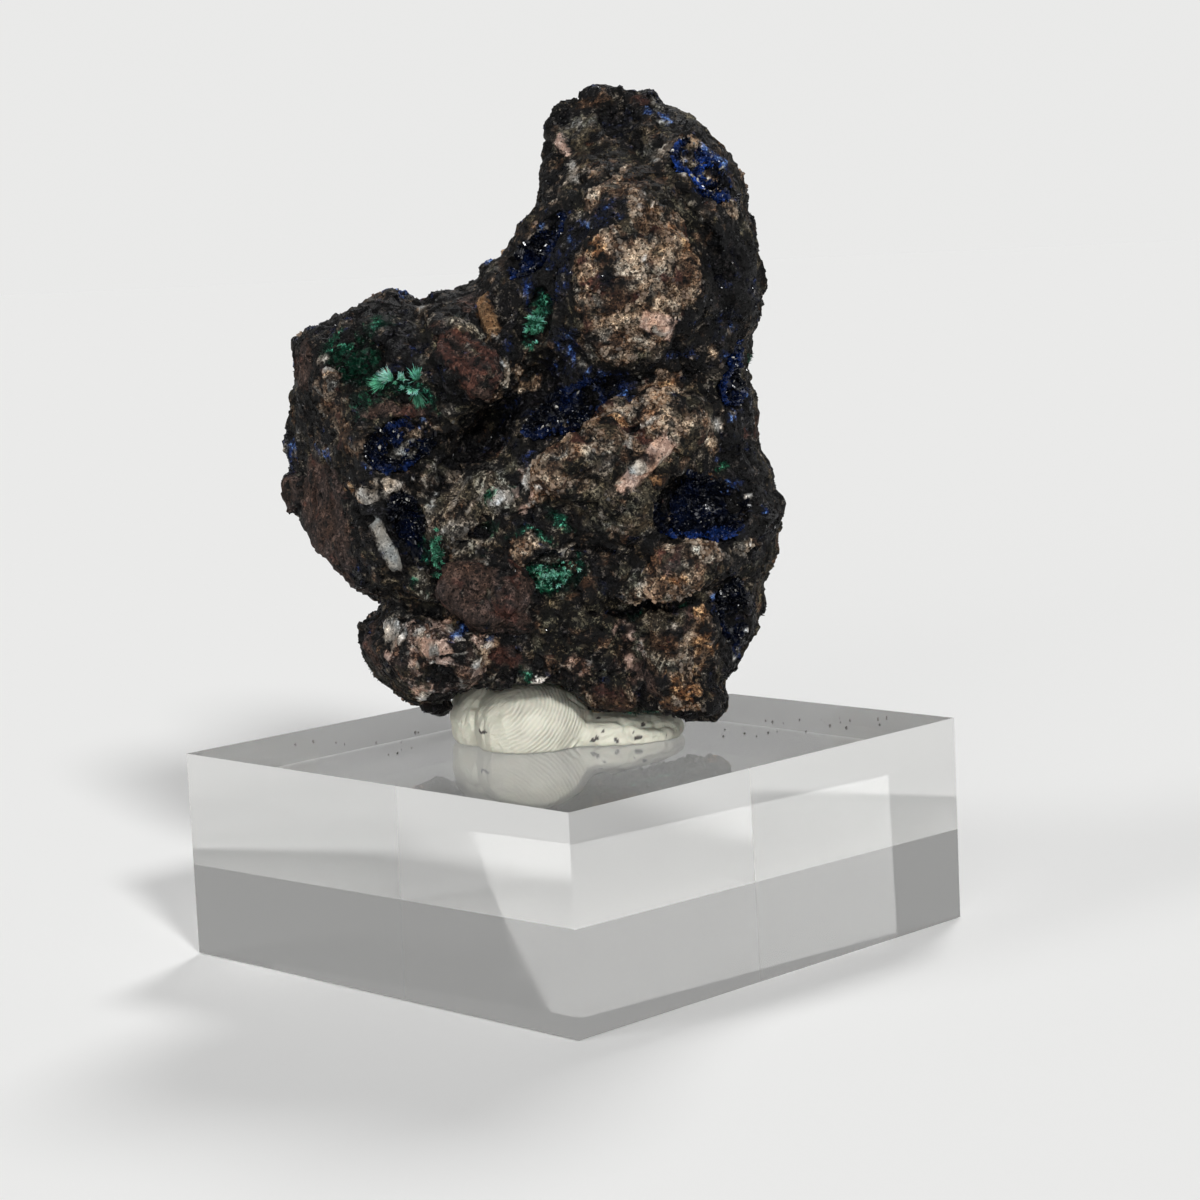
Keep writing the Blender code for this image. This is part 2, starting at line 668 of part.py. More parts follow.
def main():
    for old in list(bpy.data.objects):
        bpy.data.objects.remove(old, do_unlink=True)
    chance = random.Random(SEED)
    make_block()
    make_putty()
    stone = make_stone()
    azurite = material("azurite", (0.012, 0.02, 0.16), 0.15)
    malachite = material("malachite", (0.02, 0.3, 0.16), 0.45)
    for name, hollow in AZURITE_HOLLOWS.items():
        cut(stone, hollow_cutter(name, hollow), name)
        crust(name, hollow, azurite, chance)
    for name, hollow in MALACHITE_HOLLOWS.items():
        cut(stone, hollow_cutter(name, hollow), name)
        spray(name, hollow, malachite, chance)


if __name__ == "__main__":
    main()
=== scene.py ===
"""Looks of an azurite and malachite specimen that stands in putty on a clear acrylic block.

Lengths are in millimetres unless a comment says otherwise, and MM turns them into metres.
A place on the show face is a pixel of the 1200 x 1200 photograph: a ray from the photograph's
camera finds it on the stone. A place on the back is (x, z) in millimetres.
"""

import math
from itertools import product
from typing import NamedTuple

import bpy
import numpy as np
from bpy.props import FloatProperty, FloatVectorProperty, IntProperty, PointerProperty
from mathutils import Matrix, Vector
from mathutils.bvhtree import BVHTree


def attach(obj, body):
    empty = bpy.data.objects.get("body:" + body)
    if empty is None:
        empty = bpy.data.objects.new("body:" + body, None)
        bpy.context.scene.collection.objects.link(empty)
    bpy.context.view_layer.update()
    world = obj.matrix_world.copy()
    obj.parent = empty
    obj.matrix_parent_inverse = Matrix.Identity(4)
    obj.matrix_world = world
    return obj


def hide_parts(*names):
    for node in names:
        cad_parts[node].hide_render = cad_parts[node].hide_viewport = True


bl_info = {
    "name": "Azurite and malachite specimen",
    "version": (1, 0, 0),
    "blender": (4, 5, 0),
    "location": "3D View > Sidebar > Specimen",
    "description": "Dresses the stone, its crystals, the putty and the clear block",
    "category": "Object",
}

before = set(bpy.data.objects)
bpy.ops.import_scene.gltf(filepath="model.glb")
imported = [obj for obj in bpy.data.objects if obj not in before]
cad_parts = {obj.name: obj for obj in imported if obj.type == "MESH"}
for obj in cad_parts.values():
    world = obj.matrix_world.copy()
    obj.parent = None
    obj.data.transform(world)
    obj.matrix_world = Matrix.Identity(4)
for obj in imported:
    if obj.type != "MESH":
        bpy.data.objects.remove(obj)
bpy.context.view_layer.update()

MM = 0.001
SEED = 5

# The photograph's camera: where it is, how far it looks down and leans, and its lens
PHOTO_SIZE = 1200
CAMERA_PLACE = Vector((3.37, -269.5, 66.6))
CAMERA_DOWN = math.radians(7.38)
CAMERA_LEAN = math.radians(-2.67)
CAMERA_TURN = Matrix.Rotation(math.pi / 2 - CAMERA_DOWN, 3, "X") @ Matrix.Rotation(CAMERA_LEAN, 3, "Z")
LENS = 87.73
SENSOR = 36

BLOCK_TOP = 19.05


def linear(colour):
    """A colour given as 0 to 255 on a screen, as the linear values that a shader takes."""
    return tuple(
        part / 12.92 if part <= 0.04045 else ((part + 0.055) / 1.055) ** 2.4
        for part in (value / 255 for value in colour)
    )


def length(name, description, value):
    """A length property, from millimetres."""
    return FloatProperty(name=name, description=description, default=value * MM, unit="LENGTH", min=0)


def colour(name, description, *value):
    """A colour property, from values of 0 to 255."""
    return FloatVectorProperty(
        name=name, description=description, default=linear(value), subtype="COLOR", min=0, max=1
    )


def share(name, description, value):
    return FloatProperty(name=name, description=description, default=value, subtype="FACTOR", min=0, max=1)


def number(name, description, value):
    return IntProperty(name=name, description=description, default=value, min=0)


def strength(name, description, value):
    return FloatProperty(name=name, description=description, default=value, min=0)


class StoneSettings(bpy.types.PropertyGroup):
    """Sizes and colours of the breccia."""

    cell: length("Cell", "Size of the mesh's cells before it is thinned", 0.2)
    triangles: number("Triangles", "Triangles that the stone keeps", 194000)
    large_facet: length("Large facets", "Spacing of the larger broken facets", 2.2)
    small_facet: length("Small facets", "Spacing of the smaller broken facets", 1.1)
    granule: length("Granules", "Size of the granules", 0.5)
    pore: length("Pores", "Spacing of the pores in the rock", 0.42)
    pale_grains: number("Pale grains", "Loose pale grains on the clasts", 1800)


class AzuriteSettings(bpy.types.PropertyGroup):
    """Sizes and colours of the azurite."""

    shortest: length("Shortest", "Length of the shortest crystals on open stone", 0.06)
    longest: length("Longest", "Length of the longest crystals on open stone", 0.2)
    druse: number("Druse", "Crystals on open stone", 22000)
    crust: number("Crust", "Crystals in each hollow", 1500)
    dark: colour("Dark", "Colour of thick azurite", 5, 7, 14)
    bright: colour("Bright", "Colour of thin azurite", 26, 52, 112)
    # Pale crystals are painted lighter to stand for glints off crystal faces: painted highlights
    pale: colour("Pale", "Colour of the pale crystals among them", 150, 148, 142)


class MalachiteSettings(bpy.types.PropertyGroup):
    """Sizes and colours of the malachite."""

    needles: number("Needles", "Needles in each hollow", 900)
    velvet: number("Velvet", "Short needles on open stone", 4200)
    thickness: length("Thickness", "A needle's thickness", 0.085)
    root: colour("Root", "Colour at a needle's foot", 5, 46, 32)
    tip: colour("Tip", "Colour at a needle's tip", 112, 206, 164)


class PuttySettings(bpy.types.PropertyGroup):
    """Sizes and colour of the putty."""

    cell: length("Cell", "Size of the mesh's cells", 0.14)
    ridge_spacing: length("Ridge spacing", "Distance between the pressed ridges", 0.36)
    ridge_height: length("Ridge height", "Height of the pressed ridges", 0.035)
    body: colour("Colour", "Colour of clean putty", 214, 213, 196)
    dirt: colour("Dirt", "Colour of the specks in it", 74, 70, 68)


class BlockSettings(bpy.types.PropertyGroup):
    """Finish of the acrylic block."""

    tint: colour("Tint", "Colour of light that has passed through", 222, 222, 220)
    absorption: strength("Absorption", "Light taken off, per metre", 12)
    polish: share("Roughness", "Roughness of the polished faces", 0.005)
    crumbs: number("Crumbs", "Crumbs of stone on the top face", 34)


class StageSettings(bpy.types.PropertyGroup):
    """Floor and light."""

    floor: colour("Floor", "Colour of the floor", 240, 240, 239)
    sun: strength("Key light", "Strength of the key light", 2.7)
    fill: strength("Fill", "Strength of the light from all round", 0.2)
    surround: strength("Surround", "How bright the room is in reflections", 0.4)


class Finish(NamedTuple):
    """How one kind of rock or ore looks.

    Colours are 0 to 255. Specks and gaps are shares of its grains, relief and gloss go from
    0 to 1, and blades, needles and grains say how thickly azurite, malachite and pale grains
    grow on it. Streaks from 0 to 1 draw its flecks out into lines, and mottle holds the shares
    of its granules that look like other kinds.
    """

    colour: tuple
    speck: tuple
    mottle: dict
    specks: float = 0.3
    gaps: float = 0.15
    relief: float = 1.0
    gloss: float = 0.2
    blades: float = 0.0
    needles: float = 0.0
    grains: float = 0.0
    streaks: float = 0.0

    def row(self):
        return np.array([*linear(self.colour), *linear(self.speck), *self[3:]])


COLOUR = slice(0, 3)
SPECK = slice(3, 6)
SPECKS, GAPS, RELIEF, GLOSS, BLADES, NEEDLES, GRAINS, STREAKS = range(6, 14)

FINISHES = {
    "matrix": Finish(
        (15, 13, 12), (98, 90, 79),
        {"dark": 0.22, "black": 0.14, "moss": 0.14, "brown": 0.04, "grey": 0.08, "olive": 0.06},
        0.24, 0.25, 0.9, 0.25, 0.05, 0, 0.05,
    ),
    "dark": Finish(
        (8, 7, 8), (78, 72, 66), {"black": 0.25, "navy": 0.05, "matrix": 0.2}, 0.16, 0.3, 0.9, 0.4, 0.15
    ),
    "black": Finish((3, 3, 5), (42, 40, 43), {"navy": 0.08, "dark": 0.12}, 0.12, 0.3, 0.9, 0.75, 0.6),
    "navy": Finish(
        (6, 9, 20), (20, 34, 74), {"black": 0.25, "azurite": 0.08, "grey": 0.03},
        0.25, 0.25, 0.9, 0.8, 1.0,
    ),
    "azurite": Finish(
        (22, 42, 92), (98, 136, 200), {"navy": 0.25, "black": 0.12, "grey": 0.1}, 0.4, 0.25, 0.8, 0.6, 0.6
    ),
    "malachite": Finish(
        (12, 62, 46), (88, 180, 146), {"moss": 0.1, "deep green": 0.25, "matrix": 0.06},
        0.3, 0.26, 0.7, 0.35, 0, 1.0,
    ),
    "bright green": Finish(
        (24, 104, 76), (156, 228, 198), {"malachite": 0.3, "deep green": 0.15}, 0.42, 0.2, 0.6, 0.35, 0, 1.0
    ),
    "deep green": Finish(
        (4, 26, 19), (20, 74, 53), {"black": 0.16, "malachite": 0.04}, 0.22, 0.26, 0.8, 0.4, 0, 0.8
    ),
    "tan": Finish(
        (106, 88, 72), (168, 149, 128),
        {"cream": 0.12, "brown": 0.14, "olive": 0.09, "dark": 0.06, "grey": 0.08, "red": 0.04},
        0.36, 0.3, 0.7, 0.15, 0.01, 0, 0.8,
    ),
    "cream": Finish(
        (136, 119, 101), (202, 187, 166), {"tan": 0.24, "white": 0.04, "brown": 0.08, "dark": 0.04},
        0.42, 0.24, 0.7, 0.2, 0, 0, 1.0,
    ),
    "white": Finish((168, 164, 158), (224, 220, 214), {"pale": 0.2}, 0.45, 0.03, 0.35, 0.3, 0, 0, 0.2, 0.4),
    "pale": Finish(
        (120, 116, 110), (170, 166, 159), {"white": 0.06, "grey": 0.12}, 0.4, 0.06, 0.4, 0.25, 0, 0, 0.1, 0.5
    ),
    "lath": Finish((104, 102, 97), (128, 125, 119), {}, 0.35, 0.03, 0.15, 0.3, 0, 0, 0, 0.4),
    "grey": Finish(
        (72, 67, 61), (138, 131, 121), {"olive": 0.12, "pale": 0.08, "dark": 0.12, "matrix": 0.1},
        0.33, 0.25, 0.7, 0.2, 0.02, 0, 0.2, 0.2,
    ),
    "streaked": Finish(
        (54, 49, 41), (140, 134, 120), {"grey": 0.12, "olive": 0.14, "matrix": 0.12, "deep green": 0.03},
        0.34, 0.18, 0.6, 0.2, 0, 0.02, 0, 1.0,
    ),
    "rosy": Finish(
        (84, 68, 60), (160, 140, 127),
        {"mauve": 0.14, "pale": 0.06, "dark": 0.18, "pink": 0.1, "olive": 0.08},
        0.34, 0.3, 0.7, 0.2, 0.02, 0, 0.4, 0.3,
    ),
    "mauve": Finish(
        (46, 36, 32), (78, 63, 57), {"red": 0.06, "dark": 0.08}, 0.3, 0.16, 0.55, 0.15, 0, 0, 0, 0.5
    ),
    "red": Finish(
        (48, 28, 23), (80, 53, 45), {"mauve": 0.2, "dark": 0.08}, 0.3, 0.12, 0.4, 0.25, 0, 0, 0, 0.4
    ),
    "brown": Finish(
        (58, 44, 34), (112, 90, 72), {"tan": 0.08, "red": 0.06, "dark": 0.14}, 0.3, 0.25, 0.7, 0.2, 0.02
    ),
    "pink": Finish(
        (142, 117, 104), (180, 155, 140), {"pale": 0.04, "mauve": 0.03}, 0.35, 0.04, 0.3, 0.2, 0, 0, 0.1, 0.5
    ),
    "rust": Finish(
        (104, 74, 50), (188, 152, 112), {"brown": 0.12, "tan": 0.2, "dark": 0.06},
        0.38, 0.24, 0.7, 0.15, 0, 0, 0.2,
    ),
    "ochre": Finish((98, 72, 48), (136, 106, 76), {"brown": 0.06}, 0.4, 0.1, 0.3, 0.15),
    "olive": Finish(
        (50, 46, 37), (98, 92, 77), {"moss": 0.12, "grey": 0.12, "dark": 0.08},
        0.3, 0.2, 0.5, 0.2, 0.02, 0.01, 0, 0.3,
    ),
    "moss": Finish(
        (22, 21, 17), (88, 82, 66), {"dark": 0.2, "olive": 0.12, "brown": 0.06, "deep green": 0.01},
        0.28, 0.3, 0.9, 0.25, 0.06, 0.01,
    ),
}
KINDS = {name: number for number, name in enumerate(FINISHES)}


class Mark(NamedTuple):
    """An oval patch of one finish, or a boxy one, with its centre's place and half sizes.

    Turn is in degrees, and rise says how far the patch stands out of the stone.
    """

    finish: str
    x: float
    y: float
    half_long: float
    half_wide: float
    turn: float = 0
    rise: float = 0
    boxy: bool = False


# Where marks overlap, the later one is seen
SHOW_MARKS = {
    # Broad ground that the smaller patches lie on
    "mauve left side": Mark("mauve", 324, 526, 8.6, 3.9, -60),
    "left shoulder": Mark("matrix", 335, 440, 3.6, 2.6, -40),
    "streaked ground": Mark("streaked", 468, 516, 4.8, 3.4, 20),
    "lower left lump": Mark("rosy", 430, 662, 6.4, 4.2, -15),
    "navy margin": Mark("navy", 731, 388, 5.0, 1.5, 86),
    "middle ground": Mark("olive", 620, 505, 5.4, 3.6, 10),
    "lower ground": Mark("moss", 585, 635, 4.6, 4.2, 0),
    "black beside the upper clast": Mark("black", 732, 270, 7.5, 2.6, 85),
    "black right side": Mark("black", 752, 480, 8.5, 2.4, -70),
    "black lower right": Mark("black", 735, 630, 4.6, 2.8, 80),
    "black cleft": Mark("black", 500, 440, 4.6, 2.6, 50),
    "black under the shoulder": Mark("black", 540, 395, 3.6, 2.6, 0),
    "navy under the upper clast": Mark("navy", 590, 385, 5, 2.2, -20),
    "navy left of the upper clast": Mark("navy", 560, 262, 4.4, 2.4, 55),
    "dark top": Mark("black", 620, 130, 3.6, 1.8, -60),
    # Top
    "peak's left side": Mark("dark", 570, 116, 3.4, 2.0, 50, 0.25),
    "peak": Mark("dark", 592, 102, 3.2, 2.0, 30, 0.25),
    "peak's top": Mark("dark", 604, 92, 1.8, 1.2, 20, 0.1),
    "brown by the peak": Mark("brown", 597, 101, 1.4, 0.8, 10, 0.2),
    "red by the peak": Mark("red", 643, 99, 1.0, 0.8, 0, 0.2),
    "navy knob": Mark("navy", 657, 93, 1.2, 0.9),
    "blue under the knob": Mark("azurite", 660, 112, 0.9, 0.5),
    "grey top clast": Mark("olive", 578, 133, 2.6, 1.9, 62, 0.3),
    "pink spot": Mark("pink", 565, 145, 1.0, 0.5, -50, 0.2),
    "pale top edge": Mark("pale", 571, 169, 1.3, 0.5, -68),
    "neck": Mark("brown", 612, 192, 3.2, 1.9, 18, 0.2),
    "cream neck": Mark("tan", 610, 188, 1.9, 0.8, 10, 0.2),
    "cream neck, right": Mark("cream", 632, 200, 1.0, 0.7, 30),
    "cream neck, left": Mark("cream", 597, 194, 0.9, 0.5, -20),
    "pale neck": Mark("cream", 626, 171, 0.9, 0.5, 60),
    "pale neck, lower": Mark("tan", 638, 213, 1.2, 0.6, -10),
    "white dot": Mark("white", 651, 205, 0.4, 0.3),
    "tan neck": Mark("tan", 598, 172, 0.8, 0.6, 40),
    "grey under the blue": Mark("grey", 700, 168, 3.2, 1.7, -45),
    "blue shoulder": Mark("azurite", 686, 161, 1.5, 0.9, -40),
    "bright blue shoulder": Mark("azurite", 712, 170, 2.8, 1.5, -52),
    "blue shoulder edge": Mark("azurite", 729, 184, 1.5, 0.7, -62),
    "pale on the bright blue": Mark("pale", 701, 163, 0.4, 0.25, -40),
    "blue shoulder top": Mark("azurite", 664, 116, 0.9, 0.5, -30),
    "blue shoulder foot": Mark("dark", 690, 195, 2.2, 1.2, -30),
    "white dot on the blue": Mark("white", 678, 158, 0.32, 0.25),
    "white dot below it": Mark("white", 681, 173, 0.28, 0.25),
    "cream on the shoulder": Mark("cream", 707, 180, 0.7, 0.35, -45),
    "cream under it": Mark("cream", 714, 190, 0.6, 0.4, -30),
    "cream at the edge": Mark("cream", 729, 206, 0.9, 0.6, -40),
    "cream above the blue": Mark("cream", 691, 142, 0.8, 0.5, -30),
    "grey shoulder rib": Mark("grey", 660, 150, 1.6, 1.0, -60),
    "navy band": Mark("navy", 600, 217, 3.4, 0.9, 24),
    "navy band, left": Mark("navy", 560, 226, 2.6, 1.3, 15),
    # Upper clast
    "upper clast": Mark("tan", 640, 272, 5.2, 4.6, 0, 0.35),
    "upper clast's foot": Mark("tan", 626, 312, 4.4, 3.4, 10, 0.35),
    "upper clast's left corner": Mark("tan", 598, 248, 2.0, 1.6, 40, 0.2),
    "upper clast lobe": Mark("tan", 668, 228, 2.8, 2.0, 0, 0.3),
    "brown in the clast": Mark("brown", 614, 292, 1.6, 0.8, 60),
    "brown in its right side": Mark("brown", 664, 270, 1.4, 0.8, -60),
    "brown at its foot": Mark("brown", 648, 330, 1.8, 0.8, 10),
    "brown at its top": Mark("brown", 634, 240, 1.5, 0.6, 20),
    "cream on the clast": Mark("cream", 642, 262, 2.4, 1.5, 10),
    "cream at its foot": Mark("cream", 622, 322, 1.5, 0.9, 0),
    "cream at its left": Mark("cream", 606, 256, 1.1, 0.7, 50),
    "rusty spot": Mark("rust", 682, 244, 0.8, 0.5, -20),
    "rusty left spot": Mark("rust", 597, 243, 0.8, 0.6, 20),
    "red spot": Mark("red", 597, 280, 1.1, 0.7, 40),
    "dark spot": Mark("dark", 607, 268, 1.4, 0.6, 60),
    "mauve lath": Mark("pink", 657, 323, 1.6, 1.0, -25, 0.35, True),
    "tan foot": Mark("tan", 616, 350, 1.8, 1.0, -8, 0.2),
    "blue right edge": Mark("navy", 755, 290, 1.2, 0.6, 90),
    "blue right edge, lower": Mark("navy", 730, 326, 1.1, 0.7, 70),
    "blue by the right edge": Mark("azurite", 724, 360, 0.9, 0.4, 90),
    "blue right knob": Mark("azurite", 747, 398, 0.9, 0.4, 80),
    "blue in the margin": Mark("azurite", 731, 414, 0.9, 0.4, 80),
    "olive in the margin": Mark("olive", 738, 372, 0.9, 0.5, 80),
    "green tint": Mark("malachite", 746, 358, 0.6, 0.3, 80),
    "red margin": Mark("red", 747, 431, 0.6, 0.4, 60),
    # Upper left edge and tuft
    "upper tuft ground": Mark("malachite", 537, 316, 2.9, 0.7, 68),
    "pale tuft tip": Mark("malachite", 526, 342, 0.7, 0.5, 60),
    "tan rod": Mark("ochre", 488, 317, 2.4, 0.75, -70, 0.6, True),
    "rosy rod end": Mark("rosy", 496, 342, 0.6, 0.5, -70, 0.2),
    "cream by the rod": Mark("cream", 512, 373, 1.4, 0.8, -20),
    "tan by the cleft": Mark("tan", 529, 382, 1.0, 0.6, 20),
    "tan under the rod": Mark("tan", 496, 392, 0.9, 0.6),
    "mauve left of the rod": Mark("mauve", 470, 300, 2.0, 1.0, -60),
    # Left shoulder
    "carpet ground": Mark("deep green", 352, 364, 3.4, 2.7, -50),
    "carpet's upper arm": Mark("deep green", 380, 326, 1.8, 0.9, 60),
    "carpet's foot": Mark("deep green", 366, 400, 1.8, 1.1, 60),
    "light on the carpet": Mark("malachite", 333, 350, 0.9, 0.4, 20),
    "light on its heart": Mark("malachite", 360, 370, 0.8, 0.25, 80),
    "light on its foot": Mark("malachite", 352, 402, 0.6, 0.2, 70),
    "black by the carpet": Mark("black", 400, 360, 2.2, 1.2, -60),
    "fan ground": Mark("deep green", 402, 388, 2.2, 0.8, -20),
    "fan's tail": Mark("deep green", 430, 402, 1.2, 0.6, -50),
    "black shoulder top": Mark("black", 395, 305, 3.0, 1.4, 20),
    "dip in the shoulder top": Mark("black", 430, 298, 1.2, 1.0, 0, -0.7),
    "left bulge": Mark("mauve", 290, 495, 2.4, 1.6, 90, 0.5),
    "dip in the left flank": Mark("mauve", 322, 562, 4.2, 2.0, -52, -0.75),
    "dip in the lump's side": Mark("mauve", 356, 642, 3.2, 1.6, -80, -0.65),
    "dip in the neck's side": Mark("dark", 544, 163, 2.8, 1.2, 90, -0.3),
    "dip in the right side": Mark("black", 783, 455, 2.8, 1.2, -75, -0.35),
    "dip in the upper right side": Mark("dark", 763, 265, 3.8, 1.4, 88, -0.35),
    "pink knob": Mark("pink", 329, 374, 0.9, 0.7, 20, 0.3),
    "knob": Mark("tan", 326, 389, 1.1, 0.9, 80, 0.4),
    "pale knob side": Mark("pale", 321, 361, 0.7, 0.4, 60),
    "cream under the knob": Mark("cream", 328, 411, 0.9, 0.6, -30),
    "mauve shoulder side": Mark("mauve", 302, 362, 1.3, 2.2, 0),
    "navy by the fan": Mark("navy", 414, 347, 1.3, 1.0, -30),
    "red lens": Mark("red", 462, 350, 4.8, 1.9, -50, 0.3),
    "red lens foot": Mark("red", 478, 388, 2.2, 1.0, -48, 0.2),
    "dark on the lens": Mark("dark", 456, 352, 1.2, 0.4, -50),
    "dark over the lens": Mark("dark", 472, 335, 2.0, 0.5, -45),
    "red lens head": Mark("red", 444, 330, 1.4, 1.0, -30, 0.1),
    "pale cap": Mark("grey", 423, 311, 1.2, 0.5, -20, 0.2),
    "grey ridge on the lens": Mark("streaked", 458, 324, 2.4, 0.5, -38, 0.2),
    "grey lath": Mark("grey", 475, 355, 0.9, 0.14, -50, 0.15),
    "grey lath below it": Mark("grey", 486, 369, 0.6, 0.12, -50, 0.15),
    "black under the lens": Mark("black", 449, 386, 2.8, 1.1, -42),
    "black over the fan": Mark("black", 397, 337, 1.7, 1.0, -10),
    "green under the fan": Mark("deep green", 381, 398, 1.3, 0.8, 0),
    "purple ridge": Mark("mauve", 396, 411, 3.0, 0.5, 0, 0.2),
    "small red lens": Mark("red", 416, 414, 1.1, 0.4, -10, 0.3),
    "navy hollow": Mark("dark", 410, 448, 4.2, 2.1, -5),
    "navy over the hollow": Mark("navy", 402, 430, 2.6, 0.8, 5),
    "blue under the ridge": Mark("azurite", 397, 438, 1.0, 0.5, 10),
    "blue beside it": Mark("azurite", 421, 424, 0.7, 0.4, 20),
    "blue below it": Mark("azurite", 391, 466, 0.8, 0.4, 20),
    "blue left of it": Mark("azurite", 374, 468, 0.6, 0.4, 60),
    "grey in the navy": Mark("grey", 404, 458, 1.2, 0.8, 20),
    "cream in the navy": Mark("cream", 417, 436, 0.7, 0.6, 60, 0.2),
    "white below it": Mark("white", 383, 451, 0.45, 0.25, 70),
    "white at its foot": Mark("pale", 380, 468, 0.5, 0.3, 0),
    "brown crumble": Mark("brown", 345, 440, 1.6, 1.3, -50),
    "cream crumble": Mark("tan", 360, 448, 0.7, 0.5, -20),
    "cream crumble, upper": Mark("tan", 340, 430, 0.6, 0.3, 0),
    "knob's foot": Mark("brown", 336, 416, 1.6, 0.8, -50),
    "navy left edge": Mark("navy", 287, 450, 2.6, 1.1, 85),
    "blue left edge": Mark("azurite", 291, 446, 0.9, 0.4, 80),
    "blue vein": Mark("azurite", 324, 452, 1.3, 0.25, -58),
    "black cavity": Mark("black", 436, 366, 1.0, 0.7, -30),
    # Cleft
    "grey chunk": Mark("grey", 425, 476, 1.4, 1.0, 60, 0.3),
    "tan on the grey chunk": Mark("tan", 421, 472, 0.6, 0.4, 60),
    "grey chunk beside it": Mark("grey", 453, 472, 1.2, 0.8, -30, 0.3),
    "dark between the chunks": Mark("black", 439, 482, 1.0, 0.3, 70, -0.2),
    "navy by the cleft": Mark("navy", 567, 342, 1.6, 1.3, 30),
    "navy under it": Mark("azurite", 573, 352, 0.5, 0.4),
    "blue by the middle clast": Mark("azurite", 573, 420, 1.0, 0.7, 30),
    "navy by the middle clast": Mark("black", 570, 398, 3.0, 1.6, -10),
    "pale left of the blue": Mark("pale", 554, 426, 0.7, 0.6, 20, 0.2),
    # Middle clast
    "middle clast, left": Mark("tan", 558, 460, 3.4, 2.2, 35, 0.4),
    "middle clast": Mark("tan", 630, 428, 5.6, 2.9, 20, 0.4),
    "middle clast, right": Mark("tan", 690, 418, 3.4, 2.7, -60, 0.3),
    "middle clast, top": Mark("tan", 662, 392, 2.4, 1.6, 30, 0.3),
    "cream end": Mark("cream", 532, 488, 1.9, 1.3, 60, 0.2),
    "rosy end": Mark("rosy", 526, 488, 2.2, 0.9, 80, 0.1),
    "cream left arc": Mark("cream", 543, 462, 1.0, 0.7, 30),
    "cream over the left lobe": Mark("cream", 593, 448, 0.9, 0.6, 30),
    "dark in the left lobe": Mark("brown", 562, 447, 1.3, 0.7, 20),
    "dark under the left lobe": Mark("moss", 582, 464, 1.3, 0.7, 30),
    "cream top arc": Mark("cream", 662, 400, 1.8, 0.7, 20),
    "cream right arc": Mark("cream", 709, 432, 2.2, 0.6, -72),
    "pale on the right arc": Mark("pale", 715, 425, 0.7, 0.3, -70),
    "olive in the right lobe": Mark("olive", 690, 440, 1.8, 0.8, 50),
    "dark in the right lobe": Mark("moss", 694, 406, 1.0, 0.6, -40),
    "brown top": Mark("brown", 664, 384, 2.0, 0.9, 20),
    "rust on the brown top": Mark("rust", 660, 388, 1.4, 0.5, 20),
    "star pit": Mark("red", 630, 428, 1.8, 1.0, 8),
    "star pit's arm": Mark("red", 648, 438, 0.9, 0.4, -40),
    "star pit's dark": Mark("black", 634, 426, 1.0, 0.55, 30, -0.6),
    "petal over the pit": Mark("cream", 645, 409, 0.9, 0.4, 60, 0.2),
    "petal right of the pit": Mark("pale", 655, 418, 0.9, 0.4, 10, 0.2),
    "petal under that": Mark("cream", 664, 430, 0.9, 0.4, -30, 0.2),
    "petal under the pit": Mark("cream", 619, 441, 0.6, 0.4, 50, 0.2),
    "petal beside it": Mark("pale", 632, 444, 0.6, 0.4, 90, 0.2),
    "rust by the pit": Mark("rust", 617, 419, 0.9, 0.5, -20),
    "olive blob": Mark("olive", 656, 482, 1.4, 1.0, 20, 0.3),
    "tan on the olive blob": Mark("ochre", 655, 478, 0.7, 0.4, 30),
    "olive rock": Mark("olive", 622, 508, 2.6, 1.9, 10, 0.2),
    "pale rim of the olive rock": Mark("tan", 614, 534, 1.8, 0.4, -15),
    "grey over the ledge": Mark("grey", 600, 470, 1.8, 1.0, 40),
    "cream streak": Mark("cream", 570, 482, 0.8, 0.4, 30),
    "pink lath": Mark("pink", 645, 465, 3.3, 0.85, 46, 0.45, True),
    "crack under the ledge": Mark("black", 616, 551, 3.4, 0.2, 0, -0.4),
    # Right pocket
    "right pocket": Mark("black", 705, 508, 5.2, 2.7, 4),
    "right pocket's left end": Mark("black", 668, 520, 2.2, 0.9, 20),
    "navy pocket lip": Mark("navy", 697, 529, 4.6, 0.8, 0),
    "blue pocket lip": Mark("azurite", 685, 528, 2.6, 0.35, 0),
    "blue in the pocket": Mark("azurite", 731, 490, 0.9, 0.5, 40),
    "teal over the pocket": Mark("deep green", 725, 465, 1.2, 0.6, 60),
    "olive spot": Mark("ochre", 714, 479, 0.6, 0.4, 10),
    # The next five marks are painted highlights: small white spots where light glints off crystal faces in
    # the pocket
    "painted glint": Mark("white", 736, 521, 0.3, 0.22, 60),
    "painted glint, upper": Mark("white", 751, 500, 0.24, 0.2),
    "painted glint, middle": Mark("pale", 723, 511, 0.24, 0.2),
    "painted glint, left": Mark("white", 683, 482, 0.24, 0.2),
    "painted glint, low": Mark("white", 672, 517, 0.22, 0.18),
    # Left flank
    # This pocket is painted black: partly dark azurite, partly the painted shade of the pocket
    "pocket painted dark": Mark("black", 384, 525, 3.4, 2.0, -62),
    "pocket painted dark, right": Mark("navy", 402, 512, 2.0, 0.9, -80),
    "striated chunk": Mark("pale", 366, 490, 1.4, 0.75, -8, 0.4),
    "cream on the striated chunk": Mark("cream", 360, 494, 0.9, 0.35, -8),
    "orange end of it": Mark("rust", 347, 487, 0.6, 0.5, 0, 0.3),
    "white chunk": Mark("pale", 389, 482, 1.0, 0.7, 0, 0.4),
    "white lath": Mark("lath", 386, 546, 2.6, 0.6, -64, 0.5, True),
    "dark by the lath's foot": Mark("dark", 404, 582, 1.2, 0.5, -60),
